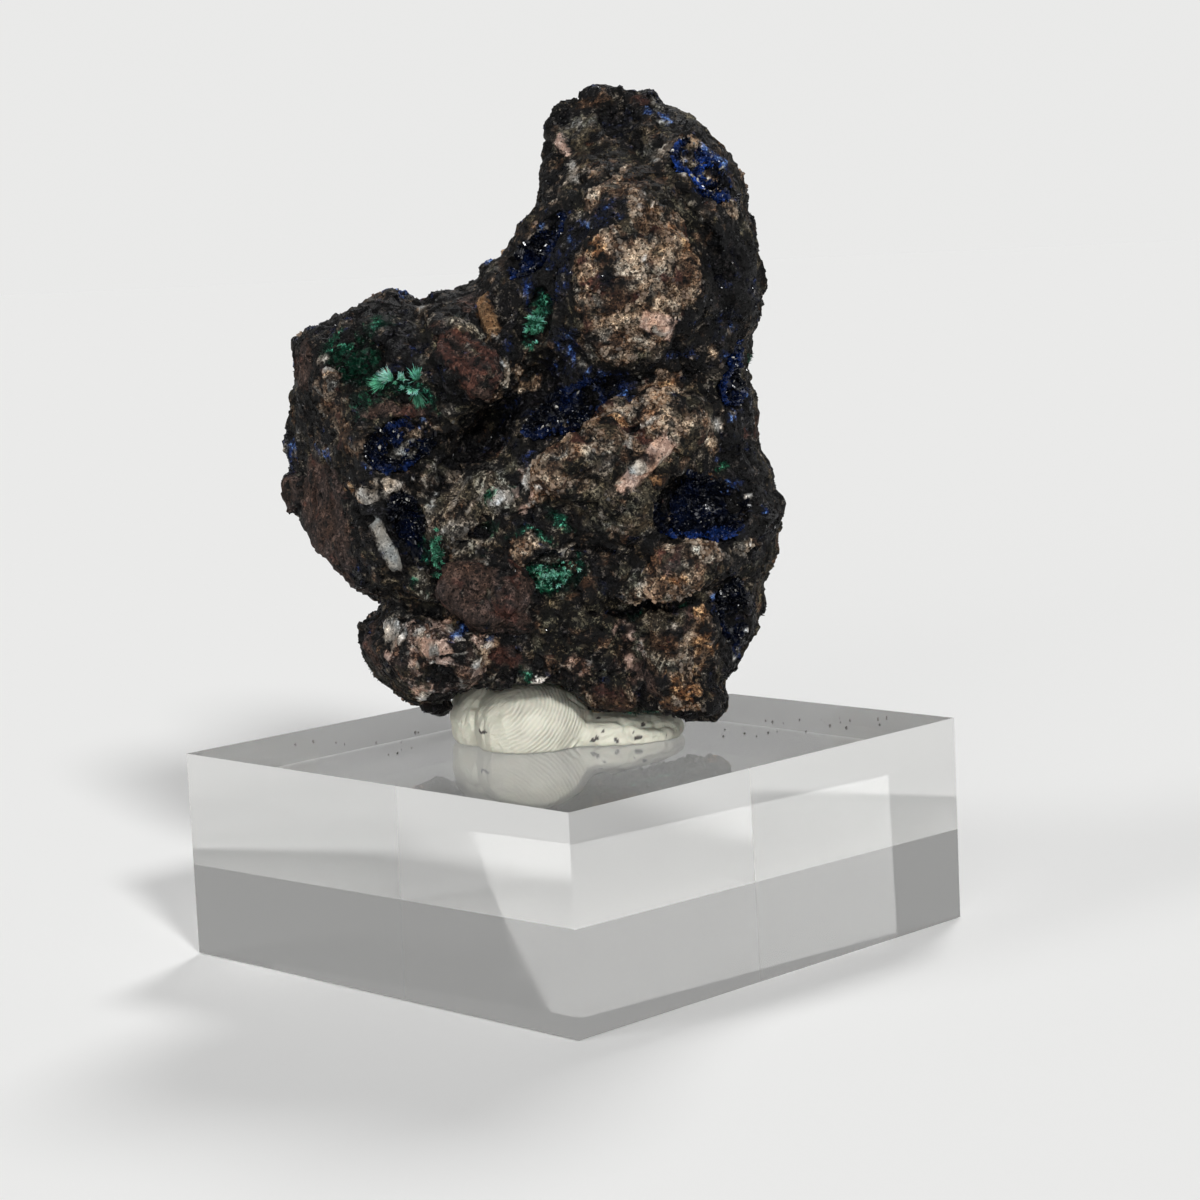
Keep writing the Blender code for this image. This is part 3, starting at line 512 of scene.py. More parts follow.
    "green strip": Mark("malachite", 421, 540, 2.9, 0.75, -80),
    "black line in the strip": Mark("black", 424, 546, 1.6, 0.14, -75),
    "grey ridge": Mark("streaked", 422, 590, 2.4, 0.9, -75, 0.2),
    "white streaks": Mark("pale", 462, 492, 1.6, 0.2, 62),
    "white streaks, lower": Mark("pale", 448, 520, 1.8, 0.18, 66),
    "white streaks, left": Mark("pale", 432, 505, 1.6, 0.16, 78),
    "white streaks, right": Mark("pale", 478, 505, 1.5, 0.18, 52),
    "pale green block": Mark("pale", 499, 497, 1.1, 0.7, 20, 0.2),
    # The holes below are dented in and painted black, the black standing partly for their painted shade
    "hole in the streaks": Mark("black", 482, 531, 0.9, 0.75, 20, -0.8),
    "second hole": Mark("black", 463, 545, 0.9, 0.4, 0, -0.7),
    "third hole": Mark("black", 506, 515, 0.5, 0.4, 0, -0.4),
    "green tinge": Mark("malachite", 490, 497, 0.5, 0.3, 30),
    "green tinge, lower": Mark("malachite", 495, 528, 1.1, 0.4, 75),
    "green spot": Mark("deep green", 485, 552, 0.7, 0.4, 60),
    "green streak": Mark("malachite", 554, 518, 1.7, 0.6, -35),
    "green streak, lower": Mark("malachite", 518, 533, 1.2, 0.4, 20),
    "green right of the cream": Mark("malachite", 544, 538, 0.9, 0.3, -40),
    "cream by the green": Mark("cream", 527, 548, 1.3, 1.0, 30, 0.3),
    "brown by the green": Mark("red", 516, 563, 1.0, 0.4, -50),
    "pale ring by the green": Mark("pale", 564, 549, 0.9, 0.5, 0, 0.2),
    # This hole is dented in and painted black, partly as painted shade
    "hole in the ring": Mark("black", 567, 549, 0.4, 0.3, 0, -0.4),
    "grey over the green": Mark("streaked", 552, 560, 1.4, 0.4, 20),
    "bright malachite": Mark("deep green", 556, 578, 3.1, 1.5, 15),
    "green left end": Mark("malachite", 536, 576, 1.8, 1.2, 0),
    "green right end": Mark("malachite", 574, 564, 1.1, 0.5, 40),
    "brightest malachite": Mark("bright green", 534, 574, 1.3, 0.9, 0),
    "brightest malachite, lower": Mark("bright green", 546, 588, 0.8, 0.4, 10),
    "bright line of it": Mark("bright green", 566, 572, 1.6, 0.14, 30),
    "bright line over it": Mark("malachite", 580, 562, 0.7, 0.3, 60),
    "mauve clast's foot": Mark("mauve", 512, 622, 3.0, 1.8, -35, 0.2),
    "mauve clast": Mark("mauve", 478, 594, 3.9, 3.1, -20, 0.3),
    "mauve clast's right side": Mark("mauve", 513, 592, 2.2, 2.0, 60, 0.2),
    "dark on the mauve clast": Mark("moss", 496, 598, 1.2, 0.6, 60),
    "red on the mauve clast": Mark("red", 506, 614, 1.6, 0.8, -10),
    "blue crystal": Mark("azurite", 457, 631, 0.8, 0.7, 20, 0.4),
    # Lower left lump
    "mauve left face": Mark("mauve", 368, 648, 3.8, 1.1, -82),
    "pale lump face": Mark("pale", 394, 629, 2.0, 1.3, -60, 0.2),
    "black specks on it": Mark("black", 392, 645, 0.5, 0.3, 40),
    "black speck above it": Mark("black", 383, 626, 0.4, 0.25, 60),
    "salmon lump face": Mark("pink", 432, 645, 2.0, 0.8, -15, 0.2),
    "cream right of it": Mark("cream", 487, 652, 1.6, 1.0, 30),
    "dark oval": Mark("black", 440, 676, 1.5, 1.1, -10, -0.2),
    "dark foot of the lump": Mark("black", 436, 710, 2.4, 0.9, 0, 0.35),
    "pink under it": Mark("pink", 422, 689, 1.0, 0.6, -10),
    "white under it": Mark("white", 427, 698, 0.6, 0.35),
    "black knobs": Mark("black", 360, 580, 1.6, 1.0, -30),
    "red brown strip": Mark("red", 510, 658, 1.9, 0.8, -20),
    "green by the putty": Mark("malachite", 524, 674, 0.7, 0.5),
    "green beside it": Mark("malachite", 507, 686, 0.6, 0.3),
    "white by the putty": Mark("white", 538, 679, 0.6, 0.4),
    # Lower right
    "cream under the clast's right": Mark("cream", 686, 590, 1.6, 0.7, 10),
    "cream under the orange foot": Mark("cream", 690, 694, 1.2, 0.7, 20),
    "lower right clast": Mark("tan", 688, 566, 4.2, 2.6, 20, 0.4),
    "lower right clast's arm": Mark("grey", 742, 548, 1.8, 0.6, 10, 0.2),
    "cream end of the arm": Mark("cream", 752, 544, 0.8, 0.35, 10),
    "lower right clast's foot": Mark("tan", 648, 592, 2.6, 1.0, 25, 0.3),
    "olive over it": Mark("moss", 632, 566, 2.0, 1.4, 20),
    "rust on it": Mark("rust", 676, 576, 0.9, 0.5, 10),
    "red on it": Mark("red", 672, 564, 1.1, 0.6, 50),
    "cream band on it": Mark("cream", 640, 598, 1.8, 0.7, 25, 0.2),
    "cream on its top": Mark("cream", 700, 553, 1.2, 0.6, 0),
    "dark on it": Mark("moss", 712, 572, 1.0, 0.6, 60),
    "fissure": Mark("black", 640, 607, 6.4, 0.3, 5, -0.5),
    "green in the fissure": Mark("deep green", 632, 614, 0.8, 0.4),
    "green right of it": Mark("malachite", 687, 604, 0.8, 0.25, 20),
    "streaked lens": Mark("streaked", 652, 622, 2.0, 1.1, 20, 0.2),
    "rosy left of the lens": Mark("rosy", 621, 628, 1.6, 0.8, -70),
    "pale right of the lens": Mark("streaked", 679, 616, 0.9, 0.5, 60),
    "red by it": Mark("red", 688, 622, 1.0, 0.5, 80),
    "brown ground": Mark("brown", 660, 656, 4.2, 2.0, 0),
    "rosy granules": Mark("rosy", 640, 655, 2.2, 1.1, 20),
    "grey granules": Mark("streaked", 664, 664, 1.8, 0.9, -30),
    "tan beside the rust": Mark("tan", 690, 652, 2.6, 1.3, 80),
    "orange rust": Mark("rust", 701, 646, 3.0, 0.9, 88),
    "orange rust, upper": Mark("rust", 698, 618, 0.9, 0.5, 90),
    "orange rust, lower": Mark("rust", 684, 674, 1.3, 0.8, 40),
    "cream by the rust": Mark("cream", 680, 656, 0.7, 0.4, 60),
    "orange foot": Mark("rust", 684, 702, 2.3, 1.4, 10),
    "rosy granules, left": Mark("rosy", 576, 668, 1.5, 0.9, 0),
    "mauve foot": Mark("mauve", 645, 682, 2.0, 1.2, -40),
    "stub": Mark("dark", 717, 698, 1.6, 1.1, 85, 0.2),
    "black crystals": Mark("black", 736, 628, 3.6, 1.8, 75),
    # These two marks are painted highlights: white spots where light glints off the black crystals
    "white sparks": Mark("white", 748, 630, 0.35, 0.2),
    "white sparks, left": Mark("white", 734, 654, 0.25, 0.2),
    "black seam": Mark("black", 638, 697, 1.8, 0.5, 85, -0.4),
    "foot clast": Mark("brown", 612, 700, 2.2, 1.5, -10, 0.2),
    "red on the foot clast": Mark("red", 606, 694, 0.9, 0.5, 0),
}

BACK_MARKS = {
    "big back clast": Mark("tan", 5, 58, 6.6, 5.2, -20, 0.4),
    "cream on the big back clast": Mark("cream", 6.5, 59.5, 3, 1.8, 20),
    "left back clast": Mark("mauve", -14, 48, 5, 4, 30, 0.3),
    "low back clast": Mark("tan", 6, 33, 5.8, 3.4, 10, 0.3),
    "small back clast": Mark("grey", -8, 34, 3.6, 2.6, -30, 0.3),
    "top back clast": Mark("grey", 9, 71, 4, 3, 40, 0.3),
    "back pit": Mark("navy", -3.4, 43.6, 5.6, 4.2, 20),
    "upper back pit": Mark("malachite", 11.6, 63.4, 3.6, 2.6, 60),
    "blue over the back pit": Mark("azurite", -4, 49, 3.2, 1, 5),
    "rusty back patch": Mark("rust", 14, 40, 2.6, 1.8, 60),
    "white back lath": Mark("white", -9, 54, 2.6, 0.7, 30, 0.4, True),
    "pink back lath": Mark("pink", 2, 44, 2.8, 0.8, -40, 0.4, True),
    "red back lens": Mark("red", -2, 66, 3.6, 1.6, 60, 0.2),
    "black back cleft": Mark("black", 4, 48.5, 9, 1.1, 0),
    "black lower back": Mark("black", -1, 30, 2, 5, 0),
}

# Finishes of the patches strewn over the sides and back, and how many of each
STREWN = {
    "tan": 16, "grey": 14, "mauve": 12, "cream": 16, "navy": 18, "black": 18, "streaked": 8,
    "azurite": 11, "malachite": 9, "red": 7, "rust": 6, "pink": 7, "pale": 6, "white": 4,
}

# Half lengths of the smallest and the largest strewn patch, and of the largest one of the palest
# finishes, how wide patches are for their length, and how far they stand out
STREWN_SHORTEST = 0.5
STREWN_LONGEST = 3.4
PALE_LONGEST = {"white": 1.0, "pale": 1.6, "pink": 1.8, "cream": 2.4}
STREWN_WIDTHS = (0.3, 0.8)
STREWN_RISES = (0, 0, 0.2, 0.3)

# The share of a normal that points at the photograph's camera, below which a place is hidden
HIDDEN_BELOW = -0.12

# Large odd numbers that mix a cell's three numbers, its salt and the result, and the largest result
CELL_MIXERS = (73856093, 19349663, 83492791)
SALT_MIXER = 40503
STIRRER = 1274126177
LARGEST = 0x7FFFFFFF

# Further than the heart of any cell beside a point, for cells of size 1
FAR = 9.0


def scrambled(cells, salt):
    """A number from 0 to 1 for each whole-number (x, y, z), the same one each run.

    A salt makes the numbers, and the noise made of them, differ from those of other salts.
    """
    x, y, z = (cells[:, axis] * CELL_MIXERS[axis] for axis in range(3))
    mixed = x ^ y ^ z
    for _ in range(2):
        mixed = ((mixed ^ salt * SALT_MIXER) * STIRRER) & LARGEST
        mixed = mixed ^ (mixed >> 15)
    return mixed / LARGEST


def smoothstep(value):
    value = np.clip(value, 0, 1)
    return value * value * (3 - 2 * value)


def lumps(points, size, salt):
    """Smooth noise from -1 to 1 whose lumps are about `size` apart."""
    place = points / size
    home = np.floor(place).astype(np.int64)
    part = smoothstep(place - home)
    total = np.zeros(len(points))
    for corner in product((0, 1), repeat=3):
        weight = np.prod(np.where(corner, part, 1 - part), axis=1)
        total += weight * scrambled(home + corner, salt)
    return 2 * total - 1


def rough(points, size, salt, layers=3):
    """Lumps with finer ones on them, each layer half the size and half the height."""
    return sum(lumps(points, size / 2**layer, salt + layer) / 2**layer for layer in range(layers))


class Cells(NamedTuple):
    """The cell of a broken pattern that each point lies in.

    Near is the distance from the cell's heart, for cells of size 1, and away is the way from it
    in millimetres.
    """

    key: np.ndarray
    near: np.ndarray
    away: np.ndarray

    def chance(self, salt):
        return scrambled(self.key, salt)

    def facet(self, step, slope, salt):
        """Height of flat facets, one to a cell, each stepped and tilted its own way."""
        tilt = np.stack([self.chance(salt + axis) - 0.5 for axis in range(3)], axis=1)
        return step * (2 * self.chance(salt + 3) - 1) + 2 * slope * np.sum(tilt * self.away, axis=1)


def broken_cells(points, size, salt):
    """The cells of a pattern whose hearts are about `size` apart."""
    place = points / size
    home = np.floor(place).astype(np.int64)
    near = np.full(len(points), FAR)
    key = home.copy()
    away = np.zeros_like(place)
    for step in product((-1, 0, 1), repeat=3):
        cell = home + step
        heart = np.stack([scrambled(cell, salt + axis) for axis in range(3)], axis=1)
        offset = place - cell - heart
        distance = np.sqrt(np.sum(offset**2, axis=1))
        closer = distance < near
        near = np.where(closer, distance, near)
        key[closer] = cell[closer]
        away[closer] = offset[closer]
    return Cells(key, near, away * size)


def link(name, mesh):
    made = bpy.data.objects.new(name, mesh)
    bpy.context.scene.collection.objects.link(made)
    return made


def settle(made):
    """Turns an object's modifiers into its mesh."""
    bpy.context.view_layer.update()
    evaluated = made.evaluated_get(bpy.context.evaluated_depsgraph_get())
    mesh = bpy.data.meshes.new_from_object(evaluated)
    made.modifiers.clear()
    old = made.data
    made.data = mesh
    bpy.data.meshes.remove(old)
    mesh.name = made.name
    return made


def remeshed(name, node, cell, smoothing):
    """A copy of a CAD node in small even cells, with its edges softened."""
    made = link(name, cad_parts[node].data.copy())
    made.data.materials.clear()
    skin = made.modifiers.new("skin", "REMESH")
    skin.mode = "VOXEL"
    skin.voxel_size = cell
    soften = made.modifiers.new("soften", "SMOOTH")
    soften.iterations = smoothing
    return settle(made)


def points_of(mesh):
    """A mesh's points in millimetres."""
    values = np.empty(len(mesh.vertices) * 3, np.float32)
    mesh.vertices.foreach_get("co", values)
    return values.reshape(-1, 3).astype(float) / MM


def move_points(mesh, points):
    mesh.vertices.foreach_set("co", (points * MM).astype(np.float32).ravel())
    mesh.update()


def normals_of(mesh):
    values = np.empty(len(mesh.vertices) * 3, np.float32)
    mesh.vertex_normals.foreach_get("vector", values)
    return values.reshape(-1, 3).astype(float)


def triangles_of(mesh):
    mesh.calc_loop_triangles()
    values = np.empty(len(mesh.loop_triangles) * 3, np.int32)
    mesh.loop_triangles.foreach_get("vertices", values)
    return values.reshape(-1, 3)


def write_colour(mesh, name, values):
    layer = mesh.attributes.new(name, "FLOAT_COLOR", "POINT")
    layer.data.foreach_set("color", np.c_[values, np.ones(len(values))].astype(np.float32).ravel())


def write_value(mesh, name, values):
    mesh.attributes.new(name, "FLOAT", "POINT").data.foreach_set("value", values.astype(np.float32))


def read_colour(mesh, name):
    values = np.empty(len(mesh.vertices) * 4, np.float32)
    mesh.attributes[name].data.foreach_get("color", values)
    return values.reshape(-1, 4)[:, :3].astype(float)


def read_value(mesh, name):
    values = np.empty(len(mesh.vertices), np.float32)
    mesh.attributes[name].data.foreach_get("value", values)
    return values.astype(float)


def piece(name, points, triangles, paint, finish):
    """A piece from points in millimetres, painted point by point."""
    mesh = bpy.data.meshes.new(name)
    mesh.from_pydata((points * MM).tolist(), [], triangles.tolist())
    write_colour(mesh, "paint", paint)
    mesh.materials.append(finish)
    return dressed(link(name, mesh))


def dressed(made):
    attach(made, "root")
    return made


# Where most of a noise's values lie, and a pore's radii and half the width of its soft edge, for
# cells of size 1
NOISE_SPAN = (0.3, 0.7)
PORE_RADII = (0.3, 0.78)
PORE_EDGE = 0.07


class Nodes:
    """Makes and joins the nodes of one material."""

    def __init__(self, name):
        self.material = bpy.data.materials.new(name)
        self.material.use_nodes = True
        self.tree = self.material.node_tree
        self.shader = self.tree.nodes["Principled BSDF"]
        self.place = self.add("ShaderNodeTexCoord").outputs["Object"]

    def add(self, kind, inputs=None, **settings):
        node = self.tree.nodes.new(kind)
        for name, value in settings.items():
            setattr(node, name, value)
        for name, value in (inputs or {}).items():
            self.put(node.inputs[name], value)
        return node

    def put(self, socket, value):
        """Links a socket to another one, or sets it to a value."""
        if isinstance(value, bpy.types.NodeSocket):
            self.tree.links.new(value, socket)
        else:
            socket.default_value = value

    def attribute(self, name, output="Color"):
        return self.add("ShaderNodeAttribute", attribute_name=name).outputs[output]

    def noise(self, size, detail=2.0, roughness=0.5, place=None, output="Fac"):
        """Noise from 0 to 1 whose lumps are about `size` millimetres apart."""
        inputs = {"Scale": 1 / (size * MM), "Detail": detail, "Roughness": roughness}
        inputs["Vector"] = place or self.place
        return self.add("ShaderNodeTexNoise", inputs).outputs[output]

    def varied(self, size, low, high):
        """A number that goes about from `low` to `high`, in lumps of `size` millimetres."""
        return self.ranged(self.noise(size), *NOISE_SPAN, low, high)

    def drawn_out(self, place, turn, times):
        """Places pressed together along one direction of the show face, `turn` degrees from X."""
        inputs = {"Vector": place, "Rotation": (0, -math.radians(turn), 0), "Scale": (times, 1, 1)}
        return self.add("ShaderNodeMapping", inputs, vector_type="TEXTURE").outputs[0]

    def shaken(self, size, shift):
        """Places moved about by up to `shift` millimetres, in lumps of `size`."""
        inputs = {0: self.noise(size, 2, output="Color"), 1: (2 * shift * MM,) * 3, 2: self.place}
        return self.add("ShaderNodeVectorMath", inputs, operation="MULTIPLY_ADD").outputs[0]

    def cells(self, size, place):
        """The distance to the heart of the grain about `size` millimetres wide, and its own chance."""
        grains = self.add("ShaderNodeTexVoronoi", {"Vector": place, "Scale": 1 / (size * MM)})
        chance = self.add("ShaderNodeSeparateColor", {"Color": grains.outputs["Color"]}).outputs[0]
        return grains.outputs["Distance"], chance

    def pores(self, size, place, wide):
        """1 in round pores about `size` millimetres apart and 0 between them, by how wide they are."""
        distance, chance = self.cells(size, place)
        radius = self.math("MULTIPLY", wide, self.ranged(chance, 0, 1, *PORE_RADII))
        return self.ranged(self.math("SUBTRACT", distance, radius), -PORE_EDGE, PORE_EDGE, 1, 0)

    def toned(self, paint, tone):
        """Paint made darker or lighter by a number."""
        shade = self.add("ShaderNodeCombineColor", {"Red": tone, "Green": tone, "Blue": tone})
        return self.mix(1.0, paint, shade.outputs[0], "MULTIPLY")

    def ranged(self, value, low, high, new_low, new_high):
        inputs = {"Value": value, "From Min": low, "From Max": high, "To Min": new_low, "To Max": new_high}
        return self.add("ShaderNodeMapRange", inputs).outputs["Result"]

    def math(self, operation, first, second):
        return self.add("ShaderNodeMath", {0: first, 1: second}, operation=operation).outputs[0]

    def between(self, factor, first, second):
        """A number between two others."""
        node = self.add("ShaderNodeMix", data_type="FLOAT")
        self.put(node.inputs[0], factor)
        self.put(node.inputs[2], first)
        self.put(node.inputs[3], second)
        return node.outputs[0]

    def mix(self, factor, first, second, blend="MIX"):
        node = self.add("ShaderNodeMix", data_type="RGBA", blend_type=blend)
        self.put(node.inputs[0], factor)
        self.put(node.inputs[6], first)
        self.put(node.inputs[7], second)
        return node.outputs[2]

    def bump(self, height, distance, strength):
        inputs = {"Height": height, "Distance": distance * MM, "Strength": strength}
        return self.add("ShaderNodeBump", inputs).outputs["Normal"]

    def finish(self, **inputs):
        for name, value in inputs.items():
            self.put(self.shader.inputs[name.replace("_", " ")], value)
        return self.material


def photo_ray(x, y):
    """Where the photograph's camera is, and the direction in which it sees a pixel."""
    side = (x / PHOTO_SIZE - 0.5) * SENSOR / LENS
    up = (0.5 - y / PHOTO_SIZE) * SENSOR / LENS
    return CAMERA_PLACE, (CAMERA_TURN @ Vector((side, up, -1))).normalized()


class Patch(NamedTuple):
    """A mark in its place.

    The rows of axes turn a way from its centre into shares of its half sizes, and reach is how
    far it goes from there at most.
    """

    finish: str
    centre: np.ndarray
    axes: np.ndarray
    half_wide: float
    rise: float
    boxy: bool
    reach: float


# A patch's least half depth, its half depth for its half width, and how far its ragged rim may
# reach past it
LEAST_DEPTH = 2.2
DEPTH_SHARE = 1.2
RIM_REACH = 1.5


def patch(mark, centre, right, up, deep):
    """A mark laid on the stone at a centre, in the plane of two directions."""
    angle = math.radians(mark.turn)
    along = right * math.cos(angle) + up * math.sin(angle)
    across = up * math.cos(angle) - right * math.sin(angle)
    half_deep = max(LEAST_DEPTH, DEPTH_SHARE * mark.half_wide)
    return Patch(
        finish=mark.finish,
        centre=np.array(centre),
        axes=np.array([along / mark.half_long, across / mark.half_wide, deep / half_deep]),
        half_wide=min(mark.half_wide, mark.half_long),
        rise=mark.rise,
        boxy=mark.boxy,
        reach=max(mark.half_long, half_deep) + RIM_REACH,
    )


def show_patches(surface):
    """The marks of the show face, each where the photograph's camera sees it on the stone.

    One beside the stone goes to the nearest place on it.
    """
    right, up, _ = (CAMERA_TURN.col[axis] for axis in range(3))
    found = []
    for mark in SHOW_MARKS.values():
        start, direction = photo_ray(mark.x, mark.y)
        centre = surface.ray_cast(start, direction)[0]
        if centre is None:
            nearest = start + direction * (-CAMERA_PLACE.y / direction.y)
            centre = surface.find_nearest(nearest)[0]
        found.append(patch(mark, centre, right, up, direction))
    return found


# How far behind the middle the rays that find the back's marks start
BACK_START = 60


def back_patches(surface):
    """The marks of the back, each where a ray from behind meets the stone."""
    found = []
    for mark in BACK_MARKS.values():
        start = Vector((mark.x, BACK_START, mark.y))
        centre = surface.ray_cast(start, Vector((0, -1, 0)))[0]
        found.append(patch(mark, centre, Vector((1, 0, 0)), Vector((0, 0, 1)), Vector((0, 1, 0))))
    return found


def strewn_patches(mesh, chance):
    """Patches over the sides and back, where the photograph's camera doesn't see."""
    points = points_of(mesh)
    normals = normals_of(mesh)
    toward = unit(np.array(CAMERA_PLACE) - points)
    hidden = np.flatnonzero(np.sum(toward * normals, axis=1) < HIDDEN_BELOW)
    found = []
    for finish, count in STREWN.items():
        for number in chance.choice(hidden, count):
            deep = Vector(normals[number])
            right = deep.orthogonal().normalized()
            half_long = chance.uniform(STREWN_SHORTEST, PALE_LONGEST.get(finish, STREWN_LONGEST))
            half_wide = half_long * chance.uniform(*STREWN_WIDTHS)
            turn = chance.uniform(0, 360)
            mark = Mark(finish, 0, 0, half_long, half_wide, turn, chance.choice(STREWN_RISES))
            found.append(patch(mark, points[number], right, deep.cross(right), deep))
    return found


# How ragged the border of a patch is: the height of its waves by their size, and the share of
# them that a boxy patch has
PATCH_WARPS = {2.4: 0.55, 0.8: 0.28}
BOX_WARP = 0.14

# How wide the rim is in which granules join or leave a patch: at most, for its half width, and
# round a boxy patch
GRANULE_RIM = 0.6
BOX_RIM = 0.1

# The power of the distances that give a patch its outline
OVAL_POWER = 2
BOX_POWER = 6

# The width over which a patch rises, the rise above which a crack runs round it, and the crack
RISE_WIDTH = 0.3
CRACKED_RISE = 0.25
CRACK_WIDTH = 0.22
CRACK_DEPTH = 0.22

# The size of the areas of the three bare grounds, and the noise below which one is moss
GROUND_SIZE = 5
MOSS_BELOW = -0.45


def laid(points, patches, granules):
    """The kind of each point, and how far the patches raise the stone there."""
    warp = np.zeros_like(points)
    for size, height in PATCH_WARPS.items():
        warp += height * np.stack([lumps(points, size, 40 + axis) for axis in range(3)], axis=1)
    broad = rough(points, GROUND_SIZE, 50)
    kinds = np.select(
        [broad > 0, broad < MOSS_BELOW], [KINDS["dark"], KINDS["moss"]], KINDS["matrix"]
    )
    ragged = granules.chance(60) - 0.5
    rise = np.zeros(len(points))
    for each in patches:
        if each.boxy:
            waves, power, rim = BOX_WARP, BOX_POWER, BOX_RIM
        else:
            waves, power, rim = 1, OVAL_POWER, GRANULE_RIM * min(1, each.half_wide)
        near = np.flatnonzero(np.max(np.abs(points - each.centre), axis=1) < each.reach)
        away = (points[near] + waves * warp[near] - each.centre) @ each.axes.T
        out = np.sum(np.abs(away) ** power, axis=1) ** (1 / power)
        inside = (1 - out) * each.half_wide
        kinds[near[inside + rim * ragged[near] > 0]] = KINDS[each.finish]
        if each.rise:
            rise[near] += each.rise * smoothstep(inside / RISE_WIDTH + 0.5)
            if each.rise > CRACKED_RISE:
                rise[near] -= CRACK_DEPTH * np.exp(-((inside / CRACK_WIDTH) ** 2))
    return kinds, rise


# How many places a kind's shares of other kinds are counted out in
MOTTLE_SLOTS = 50


def mottled(kinds, chances):
    """The kinds with some cells of other kinds among them, by each kind's shares."""
    slots = np.repeat(np.arange(len(KINDS))[:, None], MOTTLE_SLOTS, axis=1)
    for number, each in enumerate(FINISHES.values()):
        others = []
        for name, part in each.mottle.items():
            others += [KINDS[name]] * round(part * MOTTLE_SLOTS)
        slots[number, : len(others)] = others
    return slots[kinds, (chances * (MOTTLE_SLOTS - 1)).astype(int)]


# Pits: the share of a gappy kind's granules that are pits, how much of a granule they reach over,
# how deep they are, and how much darker they are painted, as painted shade in them
PIT_SHARE = 0.6
PIT_REACH = 0.7
PIT_DEPTH = 0.25
PIT_PAINTED_SHADE = 0.6

# Step and slope of the large and of the small facets, height of the roughness, and how far the
# cells are bent
LARGE_FACETS = (0.12, 0.2)
SMALL_FACETS = (0.05, 0.22)
RAGGED_HEIGHT = 0.12
CELL_WARP = 0.3

# The share of the large facets, and of the roughness and shades, that the smoothest kind keeps
LEAST_FACETS = 0.3
LEAST_ROUGHNESS = 0.2

# How far lightness, warmth and gloss differ from granule to granule, from facet to facet and in
# broad waves, and the darkest and lightest paint
GRANULE_SHADE = 0.3
FACET_SHADE = 0.4
BROAD_SHADE = 0.25
GRANULE_WARMTH = 0.1
BROAD_WARMTH = 0.12
FACET_GLOSS = 0.3
PAINT_LIMITS = (0.001, 0.95)


def varying(chances, amount):
    """Factors about 1 that differ by an amount, from chances of 0 to 1."""
    return 1 - amount / 2 + amount * chances


def shape_stone(mesh, patches, settings):
    """Raises facets, clasts and pits on the stone, and paints it."""
    points = points_of(mesh)
    normals = normals_of(mesh)
    bends = np.stack([rough(points, 0.9, 20 + 5 * axis) for axis in range(3)], axis=1)
    bent = points + CELL_WARP * bends
    granules = broken_cells(bent, settings.granule / MM, 70)
    small = broken_cells(bent, settings.small_facet / MM, 80)
    large = broken_cells(points, settings.large_facet / MM, 90)
    kinds, rise = laid(points, patches, granules)
    kinds = mottled(kinds, small.chance(84))
    kinds = np.where(granules.chance(68) < 0.5, mottled(kinds, granules.chance(67)), kinds)
    looks = np.array([each.row() for each in FINISHES.values()])[kinds]
    relief = looks[:, RELIEF]
    faceted = LEAST_FACETS + (1 - LEAST_FACETS) * relief
    roughened = LEAST_ROUGHNESS + (1 - LEAST_ROUGHNESS) * relief
    pitted = granules.chance(61) < PIT_SHARE * looks[:, GAPS]
    pit = smoothstep(1 - granules.near / PIT_REACH) * pitted

    height = rise + faceted * large.facet(*LARGE_FACETS, 91)
    height += relief * (small.facet(*SMALL_FACETS, 81) - PIT_DEPTH * pit)
    height += roughened * RAGGED_HEIGHT * rough(points, 1.3, 65, 4)
    move_points(mesh, points + normals * height[:, None])

    shade = varying(granules.chance(64), GRANULE_SHADE) * varying(small.chance(85), FACET_SHADE)
    # Pits are painted darker as well as dented: painted shade
    shade = 1 + roughened * (shade * (1 - PIT_PAINTED_SHADE * pit) - 1)
    shade *= 1 + BROAD_SHADE * rough(points, 3, 55)
    warmth = BROAD_WARMTH * rough(points, 1.6, 57) + GRANULE_WARMTH * (granules.chance(66) - 0.5)
    tint = shade[:, None] * np.stack([1 + warmth, np.ones(len(points)), 1 - warmth], axis=1)
    gloss = looks[:, GLOSS] + FACET_GLOSS * (small.chance(86) - 0.5)
    write_colour(mesh, "paint", np.clip(looks[:, COLOUR] * tint, *PAINT_LIMITS))
    write_colour(mesh, "speck", np.clip(looks[:, SPECK] * tint, *PAINT_LIMITS))
    write_value(mesh, "gloss", np.clip(gloss, 0, 1))
    columns = {
        "specks": SPECKS, "gaps": GAPS, "relief": RELIEF, "blades": BLADES, "needles": NEEDLES,
        "grains": GRAINS, "streaks": STREAKS,
    }
    for name, column in columns.items():
        write_value(mesh, name, looks[:, column])


# The way in which the rock's streaks run over the show face, and how long they are for their width
STREAK_TURN = 63
STREAK_LENGTH = 6

# Sizes of the rock's pores for their spacing, how far its small grains move the edges of flecks,
# half the width of these edges, and the level of noise over which a kind has flecks, from none of
# them to all
PORE_SIZES = (1, 0.45)
FLECK_SHIFT = (-0.05, 0.05)
FLECK_EDGE = 0.015
FLECK_LEVELS = (0.6, 0.4)

# The colour of the stains, the noise over which they start and are full, and how much they can
# darken
STAIN = (0.5, 0.36, 0.28, 1)
STAIN_NOISE = (0.5, 0.58)
STAIN_SHARES = (0, 3)

